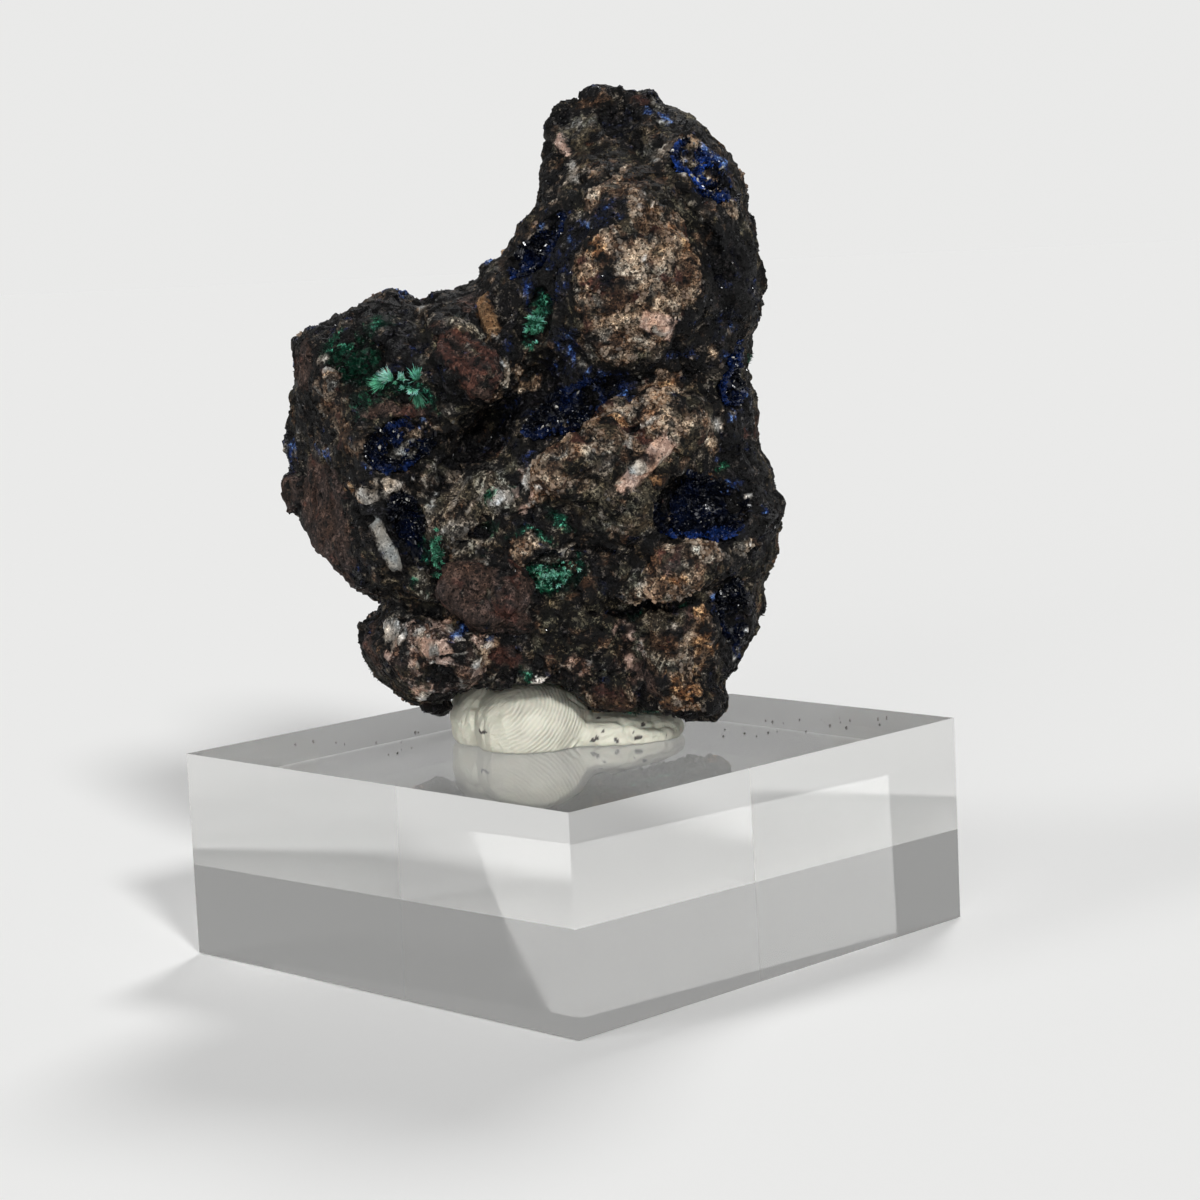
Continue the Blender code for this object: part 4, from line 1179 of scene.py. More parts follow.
# How light the rock is by its pores, its clouds, its small grains and its finest noise, and how
# rough by its gloss and its finest noise. The pores are dents painted dark, partly their own dark
# filling and partly painted shade
PORE_SHADE_TONES = (1.1, 0.16)
CLOUD_TONES = (0.4, 1.6)
SMALL_TONES = (0.65, 1.35)
FINE_TONES = (0.75, 1.25)
GLOSS_ROUGHNESS = (0.86, 0.24)
FINE_ROUGHNESS = (-0.12, 0.12)


def stone_material(settings):
    """Broken rock: flecks and streaks of a paler paint, pores of two sizes painted dark partly as their
    shade, and brown stains.
    """
    nodes = Nodes("breccia")
    size = settings.pore / MM
    shaken = nodes.shaken(1.2 * size, 0.4 * size)
    gaps = nodes.attribute("gaps", "Fac")
    wide = nodes.math("POWER", gaps, 1 / 3)
    pore = nodes.math("MAXIMUM", *(nodes.pores(part * size, shaken, wide) for part in PORE_SIZES))
    _, grain = nodes.cells(PORE_SIZES[-1] * size, shaken)
    fine = nodes.noise(0.15, 3, 0.6)
    cloud = nodes.noise(0.7, 6, 0.75)
    lines = nodes.noise(0.36, 5, 0.6, nodes.drawn_out(shaken, STREAK_TURN, STREAK_LENGTH))
    flecks = nodes.between(nodes.attribute("streaks", "Fac"), nodes.noise(1.0, 7, 0.75), lines)
    flecks = nodes.math("ADD", flecks, nodes.ranged(grain, 0, 1, *FLECK_SHIFT))
    level = nodes.ranged(nodes.attribute("specks", "Fac"), 0, 1, *FLECK_LEVELS)
    flecked = nodes.ranged(nodes.math("SUBTRACT", flecks, level), -FLECK_EDGE, FLECK_EDGE, 0, 1)
    paint = nodes.mix(flecked, nodes.attribute("paint"), nodes.attribute("speck"))
    stained = nodes.ranged(nodes.noise(2.4, 5, 0.65), *STAIN_NOISE, *STAIN_SHARES)
    paint = nodes.mix(nodes.math("MULTIPLY", stained, gaps), paint, STAIN, "MULTIPLY")

    relief = nodes.attribute("relief", "Fac")
    clouded = nodes.ranged(cloud, 0.4, 0.6, *CLOUD_TONES)
    clouded = nodes.math("MULTIPLY", clouded, nodes.ranged(grain, 0, 1, *SMALL_TONES))
    # Pores are painted dark: partly painted shade in their dents
    pore_shaded = nodes.ranged(pore, 0, 1, *PORE_SHADE_TONES)
    tone = nodes.math("MULTIPLY", nodes.between(relief, 1, clouded), pore_shaded)
    tone = nodes.math("MULTIPLY", tone, nodes.ranged(fine, *NOISE_SPAN, *FINE_TONES))
    dull = nodes.ranged(nodes.attribute("gloss", "Fac"), 0, 1, *GLOSS_ROUGHNESS)
    roughness = nodes.math("ADD", dull, nodes.ranged(fine, 0, 1, *FINE_ROUGHNESS))
    height = nodes.math("SUBTRACT", nodes.math("MULTIPLY", nodes.math("ADD", cloud, flecks), 3), pore)
    height = nodes.math("ADD", nodes.math("MULTIPLY", height, relief), fine)
    return nodes.finish(
        Base_Color=nodes.toned(paint, tone),
        Roughness=roughness,
        Normal=nodes.bump(height, 0.07, 0.9),
        IOR=1.55,
        Specular_IOR_Level=0.15,
    )


class Spots(NamedTuple):
    """Places picked on a mesh, with the direction out of it and its paint there."""

    points: np.ndarray
    normals: np.ndarray
    paint: np.ndarray


def spots_on(mesh, weights, count, chance):
    """Places picked at random on a mesh, thicker where its points' weights are larger."""
    points = points_of(mesh)
    triangles = triangles_of(mesh)
    corners = points[triangles]
    cross = np.cross(corners[:, 1] - corners[:, 0], corners[:, 2] - corners[:, 0])
    size = np.linalg.norm(cross, axis=1)
    likely = size * np.mean(weights[triangles], axis=1)
    if likely.sum() <= 0:
        raise RuntimeError(f"nothing on {mesh.name} is marked for these crystals")
    picked = chance.choice(len(triangles), count, p=likely / likely.sum())
    part = chance.dirichlet((1, 1, 1), count)
    place = np.sum(corners[picked] * part[:, :, None], axis=1)
    paint = np.sum(read_colour(mesh, "paint")[triangles[picked]] * part[:, :, None], axis=1)
    return Spots(place, cross[picked] / size[picked, None], paint)


def unit(vectors):
    return vectors / np.linalg.norm(vectors, axis=1)[:, None]


def scattered(shape, faces, places, directions, widths, lengths, chance):
    """Copies of a small shape, one at each place, its Z along each direction."""
    z = unit(directions)
    x = unit(np.cross(z, chance.normal(size=z.shape)))
    y = np.cross(z, x)
    points = (
        places[:, None]
        + shape[:, 0, None] * (widths[:, None] * x)[:, None]
        + shape[:, 1, None] * (widths[:, None] * y)[:, None]
        + shape[:, 2, None] * (lengths[:, None] * z)[:, None]
    )
    offset = len(shape) * np.arange(len(places))
    return points.reshape(-1, 3), (faces + offset[:, None, None]).reshape(-1, 3)


def prism(count, *ends):
    """Triangles of a prism: two to each side, between its rings of `count` points, then its ends."""
    sides = []
    for a in range(count):
        b = (a + 1) % count
        sides += [(a, b, b + count), (a, b + count, a + count)]
    return np.array([*sides, *ends])


# Shapes that are strewn: Z is 0 where they stand on the stone and grows to their tips
BLADE = np.array([
    (1, 0, -0.25), (0, 0.5, -0.25), (-1, 0, -0.25), (0, -0.5, -0.25),
    (1, 0, 0.62), (0, 0.5, 0.7), (-1, 0, 0.62), (0, -0.5, 0.7), (0.3, 0, 1), (-0.45, 0, 0.95),
])
BLADE_FACES = prism(
    4, (4, 5, 8), (5, 9, 8), (5, 6, 9), (6, 7, 9), (7, 8, 9), (7, 4, 8), (0, 3, 2), (0, 2, 1)
)
NEEDLE = np.array([
    (0.6, 0, 0), (-0.3, 0.52, 0), (-0.3, -0.52, 0),
    (1, 0, 0.4), (-0.5, 0.87, 0.4), (-0.5, -0.87, 0.4), (0, 0, 1),
])
NEEDLE_FACES = prism(3, (3, 4, 6), (4, 5, 6), (5, 3, 6), (0, 2, 1))
CHIP = np.array([
    (1, 0, -0.5), (-0.5, 0.87, -0.5), (-0.5, -0.87, -0.5),
    (0.75, 0.1, 0.3), (-0.25, 0.6, 0.55), (-0.45, -0.5, 0.7),
])
CHIP_FACES = prism(3, (3, 4, 5), (0, 2, 1))
GRAIN = np.array([(x, y, z) for z in (-0.5, 0.5) for x, y in ((1, 1), (-1, 1), (-1, -1), (1, -1))])
GRAIN_FACES = prism(4, (4, 5, 6), (4, 6, 7), (0, 3, 2), (0, 2, 1))

# Pale grains: their half widths, their lengths for these, how far they lean, how uneven they are,
# and how much lighter or darker than the stone; then the lightest paint of grains and needles
GRAIN_SIZES = (0.06, 0.16)
GRAIN_LENGTHS = (1.2, 2.4)
GRAIN_LEAN = 0.8
GRAIN_SHAKE = 0.22
GRAIN_TONES = (0.8, 1.5)
GRAIN_LIFT = 0.03
LIGHTEST = 0.85


def log_uniform(chance, low, high, count):
    return np.exp(chance.uniform(math.log(low), math.log(high), count))


def pale_grains(stone, settings):
    """Small angular grains that stand out of the pale clasts."""
    chance = np.random.default_rng(SEED + 1)
    count = settings.pale_grains
    spots = spots_on(stone, read_value(stone, "grains") ** 1.5, count, chance)
    sizes = log_uniform(chance, *GRAIN_SIZES, count)
    directions = spots.normals + GRAIN_LEAN * chance.normal(size=(count, 3))
    lengths = sizes * chance.uniform(*GRAIN_LENGTHS, count)
    points, triangles = scattered(GRAIN, GRAIN_FACES, spots.points, directions, sizes, lengths, chance)
    shake = chance.normal(size=points.shape) * np.repeat(sizes, len(GRAIN))[:, None] * GRAIN_SHAKE
    paint = spots.paint * chance.uniform(*GRAIN_TONES, (count, 1)) + GRAIN_LIFT
    paint = np.repeat(np.clip(paint, 0, LIGHTEST), len(GRAIN), axis=0)
    finish = crystal_material("pale grains")
    piece("pale_grains", points + shake, triangles, paint, finish)


class Lustre(NamedTuple):
    """How a kind of small crystals takes the light.

    Tone and roughness are each the size of their lumps, then the lowest and highest value. Bumps
    is the height of the bumps on them.
    """

    tone: tuple
    roughness: tuple
    ior: float
    specular: float
    bumps: float = 0


LUSTRES = {
    "pale grains": Lustre((0.12, 0.75, 1.2), (0.3, 0.35, 0.75), 1.55, 0.2),
    "azurite": Lustre((0.35, 0.6, 1.5), (0.5, 0.06, 0.28), 1.74, 0.15, 0.012),
    "malachite": Lustre((0.5, 0.7, 1.3), (0.4, 0.3, 0.5), 1.7, 0.2),
}
BUMP_SIZE = 0.15


def crystal_material(name):
    """Small crystals, each in its own paint."""
    lustre = LUSTRES[name]
    nodes = Nodes(name)
    if lustre.bumps:
        nodes.finish(Normal=nodes.bump(nodes.noise(BUMP_SIZE), lustre.bumps, 0.5))
    return nodes.finish(
        Base_Color=nodes.toned(nodes.attribute("paint"), nodes.varied(*lustre.tone)),
        Roughness=nodes.varied(*lustre.roughness),
        IOR=lustre.ior,
        Specular_IOR_Level=lustre.specular,
    )


def leaning(directions, lean, chance):
    """Directions of length 1 turned at random, by about `lean` as a share of their length."""
    return directions + lean * chance.normal(size=directions.shape) / math.sqrt(3)


# How far crystals lean, and how much their paint differs from the stone's
CRYSTAL_LEAN = 0.75
CRYSTAL_TONES = (0.5, 1.7)
CRYSTAL_PAINTS = (0.0015, 0.8)


def crystals(shape, faces, spots, sizes, stoutness, chance):
    """Pointed crystals at these spots: their points, triangles and paint."""
    count = len(spots.points)
    lengths = log_uniform(chance, *sizes, count)
    widths = lengths * chance.uniform(*stoutness, count)
    directions = leaning(spots.normals, CRYSTAL_LEAN, chance)
    points, triangles = scattered(shape, faces, spots.points, directions, widths, lengths, chance)
    tint = np.clip(spots.paint * chance.uniform(*CRYSTAL_TONES, (count, 1)), *CRYSTAL_PAINTS)
    return points, triangles, np.repeat(tint, len(shape), axis=0)


# How many ways out of a hollow are tried, and how far one has to be free
WAYS_TRIED = 160
FREE_WAY = 7


def way_out(surface, centre, chance):
    """The direction in which a hollow opens: the mean of those that meet no stone."""
    tries = unit(chance.normal(size=(WAYS_TRIED, 3)))
    free = [way for way in tries if surface.ray_cast(Vector(centre), Vector(way), FREE_WAY)[0] is None]
    if not free:
        raise RuntimeError("a hollow is shut in by the stone")
    total = np.sum(free, axis=0)
    return total / np.linalg.norm(total)


def hollow_axes(base, out):
    """A hollow's centre, its axes as columns with its depth last, and its half sizes along them."""
    centre = (base.min(axis=0) + base.max(axis=0)) / 2
    _, axes = np.linalg.eigh(np.cov((base - centre).T))
    depth = np.argmax(np.abs(out @ axes))
    axes = np.c_[np.delete(axes, depth, axis=1), axes[:, depth]]
    half = np.abs((base - centre) @ axes).max(axis=0)
    return centre, axes, half


# How much wider than the CAD's bowl a crust is laid, its crystals' lengths, how thick they are for
# that, and how far they turn to the hollow's mouth
CRUST_SPREAD = 1.12
CRUST_SIZES = (0.1, 0.48)
CRUST_STOUTNESS = (0.25, 0.5)
CRUST_LEAN = 0.9

# How low in a hollow its lower lip starts, and over how much it turns blue, for its half height
LIP_START = 0.45
LIP_RAMP = 0.3

# The share of a hollow's half width from which its crust is bare, how ragged that rim and the
# bare patches inside it are, and the level of the noise that makes these
CRUST_RIM = 0.8
RIM_RAGGED = 0.4
PATCH_RAGGED = 0.5
PATCH_LEVEL = 0.4

# How far a crust may stand off the stone, and how high the bumps on it are
CRUST_REACH = 0.32
CRUST_BUMPS = 0.16


class Crust(NamedTuple):
    """A hollow's crystals.

    How blue they are, the share that are pale crystals painted as glints, how much of the crust
    is bare, and how blue its lower lip is.
    """

    blue: float
    pale: float
    bare: float
    lip: float


CRUSTS = {
    "azurite_crust_right_pocket": Crust(0.1, 0.01, 0.3, 0.9),
    "azurite_crust_upper_right": Crust(1.8, 0.03, 0.4, 0.3),
    "azurite_crust_band": Crust(0.4, 0.01, 0.4, 0.2),
    "azurite_crust_cleft": Crust(0.25, 0.005, 0.3, 0.2),
    "azurite_crust_left": Crust(0.5, 0.01, 0.5, 0.3),
    "azurite_crust_left_pocket": Crust(0.1, 0.02, 0.4, 0),
    "azurite_crust_right_edge": Crust(0.7, 0.01, 0.35, 0.3),
    "azurite_crust_lower_right": Crust(0.12, 0.02, 0.3, 0),
    "azurite_crust_back": Crust(0.9, 0.03, 0.3, 0.3),
}


def clung(points, surface):
    """Points of a crust, those that stand off the stone drawn in to it."""
    nearest = [surface.find_nearest(Vector(point)) for point in points]
    near = np.array([found[0] for found in nearest])
    gap = np.array([found[3] for found in nearest])
    kept = np.minimum(1, CRUST_REACH / np.maximum(gap, CRUST_REACH))
    return near + (points - near) * kept[:, None]


def azurite_crust(name, surface, settings, finish, chance):
    """A hollow's crust: patches of the CAD bowl, set into its walls, with small crystals on them."""
    crust = CRUSTS[name]
    made = link(name + "_crystals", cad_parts[name].data.copy())
    finer = made.modifiers.new("finer", "SUBSURF")
    finer.subdivision_type = "SIMPLE"
    finer.levels = 2
    mesh = settle(made).data
    base = points_of(mesh)
    out = way_out(surface, (base.min(axis=0) + base.max(axis=0)) / 2, chance)
    centre, axes, half = hollow_axes(base, out)
    rim = np.linalg.norm(((base - centre) @ axes / half)[:, :2], axis=1)
    ragged = rough(base, 1.7, 33)
    beyond = rim - CRUST_RIM + RIM_RAGGED * ragged
    bare = np.maximum(beyond, PATCH_RAGGED * ragged - PATCH_LEVEL + crust.bare) > 0
    wide = clung(centre + (base - centre) * CRUST_SPREAD, surface)
    low = (centre[2] - base[:, 2]) / (np.ptp(base[:, 2]) / 2)
    lip = crust.lip * smoothstep((low - LIP_START) / LIP_RAMP) * np.clip(1 + ragged, 0, 1.5)
    blue = crust.blue * np.clip(0.8 * rough(wide, 1.3, 31), 0, 1) + lip
    dark = np.array(settings.dark)
    write_colour(mesh, "paint", dark + blue[:, None] * (np.array(settings.bright) - dark))
    normals = normals_of(mesh)
    weights = np.clip(normals @ out + 0.5, 0, 1) * ~bare
    wide += CRUST_BUMPS * normals * rough(wide, 0.8, 35, 2)[:, None]
    move_points(mesh, wide)
    spots = spots_on(mesh, weights, settings.crust, chance)
    spots = Spots(spots.points, unit(spots.normals + CRUST_LEAN * out), spots.paint)
    # Some crystals take the pale paint: painted highlights for glints
    spots.paint[chance.random(settings.crust) < crust.pale] = settings.pale
    points, triangles, paint = crystals(
        BLADE, BLADE_FACES, spots, CRUST_SIZES, CRUST_STOUTNESS, chance
    )
    kept = triangles_of(mesh)
    kept = kept[~bare[kept].any(axis=1)]
    all_points = np.vstack([wide, points])
    all_triangles = np.vstack([kept, triangles + len(wide)])
    all_paint = np.vstack([read_colour(mesh, "paint"), paint])
    bpy.data.meshes.remove(mesh)
    made = piece(name + "_crystals", all_points, all_triangles, all_paint, finish)
    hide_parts(name)


class Spray(NamedTuple):
    """A hollow's needles: how bright their tips are, the longest one, and their sheaves.

    Spread says how far the sheaves lean away from the hollow's middle, open how far each one
    opens, and slim how much of the hollow's shorter width they take.
    """

    light: float
    longest: float
    sheaves: int
    spread: float
    open: float
    slim: float


SPRAYS = {
    # The carpet's needles are painted much darker than the others, partly as painted shade of the pocket
    # they fill
    "malachite_carpet_left": Spray(0.18, 0.9, 70, 0.4, 0.3, 1.0),
    "malachite_fan_left": Spray(2.7, 2.1, 11, 1.0, 0.26, 0.8),
    "malachite_tuft_upper": Spray(2.0, 1.0, 40, 0.5, 0.35, 0.5),
    "malachite_tuft_lower": Spray(2.8, 0.5, 60, 0.5, 0.5, 0.8),
    "malachite_strip_left": Spray(1.4, 0.5, 70, 0.4, 0.5, 0.7),
    "malachite_back": Spray(0.8, 1.2, 40, 0.8, 0.35, 1.0),
}

# Sheaves: how far from a hollow's middle they stand for its half sizes, how far they lean, their
# sizes and how unequal these are, how deep they stand, and how bright they are
SHEAF_PLACES = (0.1, 0.95)
SHEAF_LEAN = 0.45
SHEAF_SIZES = (0.3, 1.0)
SHEAF_INEQUALITY = 1.3
SHEAF_DEPTH = 0.4
SHEAF_TONES = (0.15, 1.0)

# Needles in a sheaf: how far apart they stand, their lengths for the longest and widths for the
# thickest, how bright they are, and how much of the brightness is at the tip
NEEDLE_SHIFT = 0.06
NEEDLE_LENGTHS = (0.4, 1.0)
NEEDLE_WIDTHS = (0.35, 0.75)
NEEDLE_TONES = (0.6, 1.0)
TIP_POWER = 1.8


def malachite_spray(name, surface, settings, finish, chance):
    """A hollow's needles, in sheaves of all sizes that stand on its floor."""
    spray = SPRAYS[name]
    base = points_of(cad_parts[name].data)
    out = way_out(surface, base.mean(axis=0), chance)
    centre, axes, half = hollow_axes(base, out)
    count = settings.needles
    sheaves = spray.sheaves
    roots = unit(chance.normal(size=(sheaves, 3))) * chance.uniform(*SHEAF_PLACES, (sheaves, 1))
    roots[:, np.argmin(half[:2])] *= spray.slim
    away = roots @ axes.T
    aims = unit(out + spray.spread * away + SHEAF_LEAN * chance.normal(size=(sheaves, 3)))
    sizes = chance.uniform(*SHEAF_SIZES, sheaves) ** SHEAF_INEQUALITY
    sheaf = chance.choice(sheaves, count, p=sizes / sizes.sum())
    starts = centre + ((roots * half) @ axes.T)[sheaf] - SHEAF_DEPTH * half.min() * out
    starts = starts + NEEDLE_SHIFT * chance.normal(size=(count, 3))
    ways = aims[sheaf] + spray.open * chance.normal(size=(count, 3))
    lengths = spray.longest * sizes[sheaf] * chance.uniform(*NEEDLE_LENGTHS, count)
    widths = settings.thickness / MM * chance.uniform(*NEEDLE_WIDTHS, count)
    points, triangles = scattered(NEEDLE, NEEDLE_FACES, starts, ways, widths, lengths, chance)
    bright = spray.light * chance.uniform(*SHEAF_TONES, sheaves)[sheaf]
    bright = bright * chance.uniform(*NEEDLE_TONES, count)
    paint = needle_paint(bright, settings)
    made = piece(name + "_needles", points, triangles, paint, finish)
    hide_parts(name)


def needle_paint(bright, settings):
    """Paint for the points of needles, from the root's colour to the tip's."""
    up = np.tile(NEEDLE[:, 2], len(bright)) * np.repeat(bright, len(NEEDLE))
    root = np.array(settings.root)
    return np.minimum(root + up[:, None] ** TIP_POWER * (np.array(settings.tip) - root), LIGHTEST)


def surface_of(mesh):
    """A tree for casting rays at a mesh, in millimetres."""
    return BVHTree.FromPolygons(points_of(mesh).tolist(), triangles_of(mesh).tolist())


def stone_surface():
    """The dressed stone's mesh, and the tree for casting rays at it."""
    if "stone" not in bpy.data.objects:
        raise RuntimeError("make the stone first")
    mesh = bpy.data.objects["stone"].data
    return mesh, surface_of(mesh)


def hollows(ore):
    """Names of the CAD nodes that line the hollows of one ore."""
    return [name for name in sorted(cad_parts) if name.startswith(ore)]


# How thick the crystals on open stone are for their length; how far the velvet's needles lean,
# their lengths, and their widths for the thickest
DRUSE_STOUTNESS = (0.4, 0.7)
VELVET_LEAN = 0.9
VELVET_LENGTHS = (0.15, 0.5)
VELVET_WIDTHS = (0.3, 0.7)


class SPECIMEN_OT_stone(bpy.types.Operator):
    """Dress the breccia: facets, clasts, granules, colours and pale grains"""

    bl_idname = "specimen.stone"
    bl_label = "Stone"

    def execute(self, context):
        settings = context.scene.specimen_stone
        chance = np.random.default_rng(SEED)
        stone = remeshed("stone", "breccia_matrix", settings.cell, smoothing=4)
        mesh = stone.data
        surface = surface_of(mesh)
        patches = strewn_patches(mesh, chance) + back_patches(surface) + show_patches(surface)
        shape_stone(mesh, patches, settings)
        fewer = stone.modifiers.new("thin", "DECIMATE")
        fewer.ratio = min(1, settings.triangles / len(triangles_of(mesh)))
        settle(stone)
        stone.data.materials.append(stone_material(settings))
        dressed(stone)
        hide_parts("breccia_matrix")
        pale_grains(stone.data, settings)
        return {"FINISHED"}


class SPECIMEN_OT_azurite(bpy.types.Operator):
    """Grow azurite: a crust in each hollow, and small crystals on the dark stone"""

    bl_idname = "specimen.azurite"
    bl_label = "Azurite"

    def execute(self, context):
        settings = context.scene.specimen_azurite
        chance = np.random.default_rng(SEED + 2)
        finish = crystal_material("azurite")
        mesh, surface = stone_surface()
        spots = spots_on(mesh, read_value(mesh, "blades") ** 1.3, settings.druse, chance)
        sizes = (settings.shortest / MM, settings.longest / MM)
        points, triangles, paint = crystals(CHIP, CHIP_FACES, spots, sizes, DRUSE_STOUTNESS, chance)
        piece("azurite_druse", points, triangles, paint, finish)
        for name in hollows("azurite_crust"):
            azurite_crust(name, surface, settings, finish, chance)
        return {"FINISHED"}


class SPECIMEN_OT_malachite(bpy.types.Operator):
    """Grow malachite: a spray in each hollow, and short needles on the green stone"""

    bl_idname = "specimen.malachite"
    bl_label = "Malachite"

    def execute(self, context):
        settings = context.scene.specimen_malachite
        chance = np.random.default_rng(SEED + 3)
        finish = crystal_material("malachite")
        mesh, surface = stone_surface()
        count = settings.velvet
        spots = spots_on(mesh, read_value(mesh, "needles") ** 1.5, count, chance)
        directions = leaning(spots.normals, VELVET_LEAN, chance)
        lengths = log_uniform(chance, *VELVET_LENGTHS, count)
        widths = settings.thickness / MM * chance.uniform(*VELVET_WIDTHS, count)
        points, triangles = scattered(
            NEEDLE, NEEDLE_FACES, spots.points, directions, widths, lengths, chance
        )
        paint = np.repeat(spots.paint, len(NEEDLE), axis=0)
        paint = paint * (0.5 + np.tile(NEEDLE[:, 2], count))[:, None]
        piece("malachite_velvet", points, triangles, paint, finish)
        for name in hollows("malachite"):
            malachite_spray(name, surface, settings, finish, chance)
        return {"FINISHED"}


# Putty: the centre of its pressed ridges, the middle and reach of the print they make, its
# creases as seen from the front, each from one (x, z) to another with its half width and depth,
# and its dark specks as (x, z, radius): the first four are painted shade that stands for small
# holes in the tail, the last a cluster of specks
RIDGE_CENTRE = (-7.6, -8.5, 26.4)
PRINT_MIDDLE = (-1.8, -8.5, 22.2)
PRINT_REACH = 4.0
CREASES = {
    "rolled lip": ((-7.0, 24.6), (-8.6, 22.8), 0.2, 0.34),
    "rolled lip's foot": ((-8.6, 22.8), (-8.5, 21.0), 0.22, 0.26),
    "line beside the lip": ((-6.3, 24.2), (-7.9, 22.4), 0.12, 0.14),
    "line below it": ((-7.9, 22.4), (-7.6, 20.4), 0.12, 0.12),
    "wrinkle in the lip": ((-8.0, 24.0), (-9.6, 22.4), 0.12, 0.16),
    "second wrinkle in the lip": ((-9.0, 22.8), (-9.7, 21.2), 0.1, 0.14),
    "wrinkle over the print": ((-6.0, 23.4), (-4.4, 24.4), 0.14, 0.14),
    "flake": ((-0.4, 23.7), (1.4, 22.2), 0.12, 0.2),
    "flake beside it": ((0.3, 23.9), (1.9, 22.6), 0.1, 0.16),
    "crack by the print's foot": ((-0.6, 19.0), (0.4, 20.0), 0.09, 0.26),
    "crack beside it": ((-0.1, 18.9), (0.8, 19.7), 0.08, 0.2),
    "right fold": ((1.0, 22.6), (2.4, 19.2), 0.4, 0.14),
    "tail crease": ((1.6, 21.4), (9.5, 20.2), 0.22, 0.28),
    "tail crease, lower": ((2.5, 20.0), (7.8, 19.7), 0.18, 0.2),
    "tail fold": ((4.4, 21.6), (5.6, 19.6), 0.22, 0.24),
    "tail fold, right": ((7.4, 21.2), (8.8, 19.6), 0.2, 0.2),
    "tail fold, far": ((9.8, 20.8), (10.8, 19.6), 0.18, 0.16),
}
HOLES_AND_SPECKS_IN_PUTTY = (
    (2.2, 19.9, 0.2), (2.6, 20.1, 0.14), (4.2, 19.75, 0.2), (6.3, 19.95, 0.24), (-7.6, 20.9, 0.2),
)

# How far the putty swells, the height of its lumps and of its bumps, of the bumps on its tail,
# where the tail starts, and how ragged the creases are
SWELL = 0.22
LUMP_HEIGHT = 0.16
BUMP_HEIGHT = 0.05
TAIL_BUMPS = 0.16
TAIL_START = 1.5
TAIL_RAMP = 3
CREASE_WARP = 0.2

# The putty's foot: how high it reaches, over which height it sinks and how far, and its gap to
# the block
FOOT_TOP = 20.6
FOOT_RAMP = 1.2
FOOT_DROP = 0.29
FOOT_GAP = 0.02

# The share of the putty's small cells that are dirty, how many more on the tail, how much of a
# cell a speck takes, and the tints of smudges
DIRT_SHARE = 0.012
TAIL_DIRT = 0.02
DIRT_REACH = 0.45
SMUDGE = (0.42, 0.39, 0.34, 1)

# The way in which the putty's wrinkles run, and how long they are for their width
WRINKLE_TURN = 35
WRINKLE_LENGTH = 5


def shape_putty(mesh):
    """Presses creases into the putty, marks the ridged print on it, and rests it on the block."""
    points = points_of(mesh)
    normals = normals_of(mesh)
    printed = 1.5 - np.linalg.norm(points - PRINT_MIDDLE, axis=1) / PRINT_REACH
    write_value(mesh, "print", smoothstep(printed))
    height = SWELL + LUMP_HEIGHT * lumps(points, 3.2, 13) + BUMP_HEIGHT * rough(points, 0.9, 14)
    tail = smoothstep((points[:, 0] - TAIL_START) / TAIL_RAMP)
    height += TAIL_BUMPS * tail * rough(points, 1.3, 17)
    seen = points[:, [0, 2]] + CREASE_WARP * lumps(points, 1, 15)[:, None]
    frontal = smoothstep(0.2 - normals[:, 1])
    for start, end, half_width, depth in CREASES.values():
        start = np.array(start)
        run = np.array(end) - start
        part = np.clip((seen - start) @ run / (run @ run), 0, 1)
        gap = np.linalg.norm(seen - start - part[:, None] * run, axis=1)
        height -= frontal * depth * np.exp(-((gap / half_width) ** 2))
    points = points + normals * height[:, None]
    points[:, 2] -= FOOT_DROP * smoothstep((FOOT_TOP - points[:, 2]) / FOOT_RAMP)
    points[:, 2] = np.maximum(points[:, 2], BLOCK_TOP + FOOT_GAP)
    move_points(mesh, points)
    specks = broken_cells(points, 0.5, 16)
    dirty = (specks.chance(3) < DIRT_SHARE + TAIL_DIRT * tail) & (specks.near < DIRT_REACH)
    # The listed specks are painted dark: most are the painted shade of small holes
    for x, z, radius in HOLES_AND_SPECKS_IN_PUTTY:
        dirty |= (np.linalg.norm((seen - (x, z)) * (0.7, 1.4), axis=1) < radius) & (frontal > 0.5)
    write_value(mesh, "dirt", dirty.astype(float))


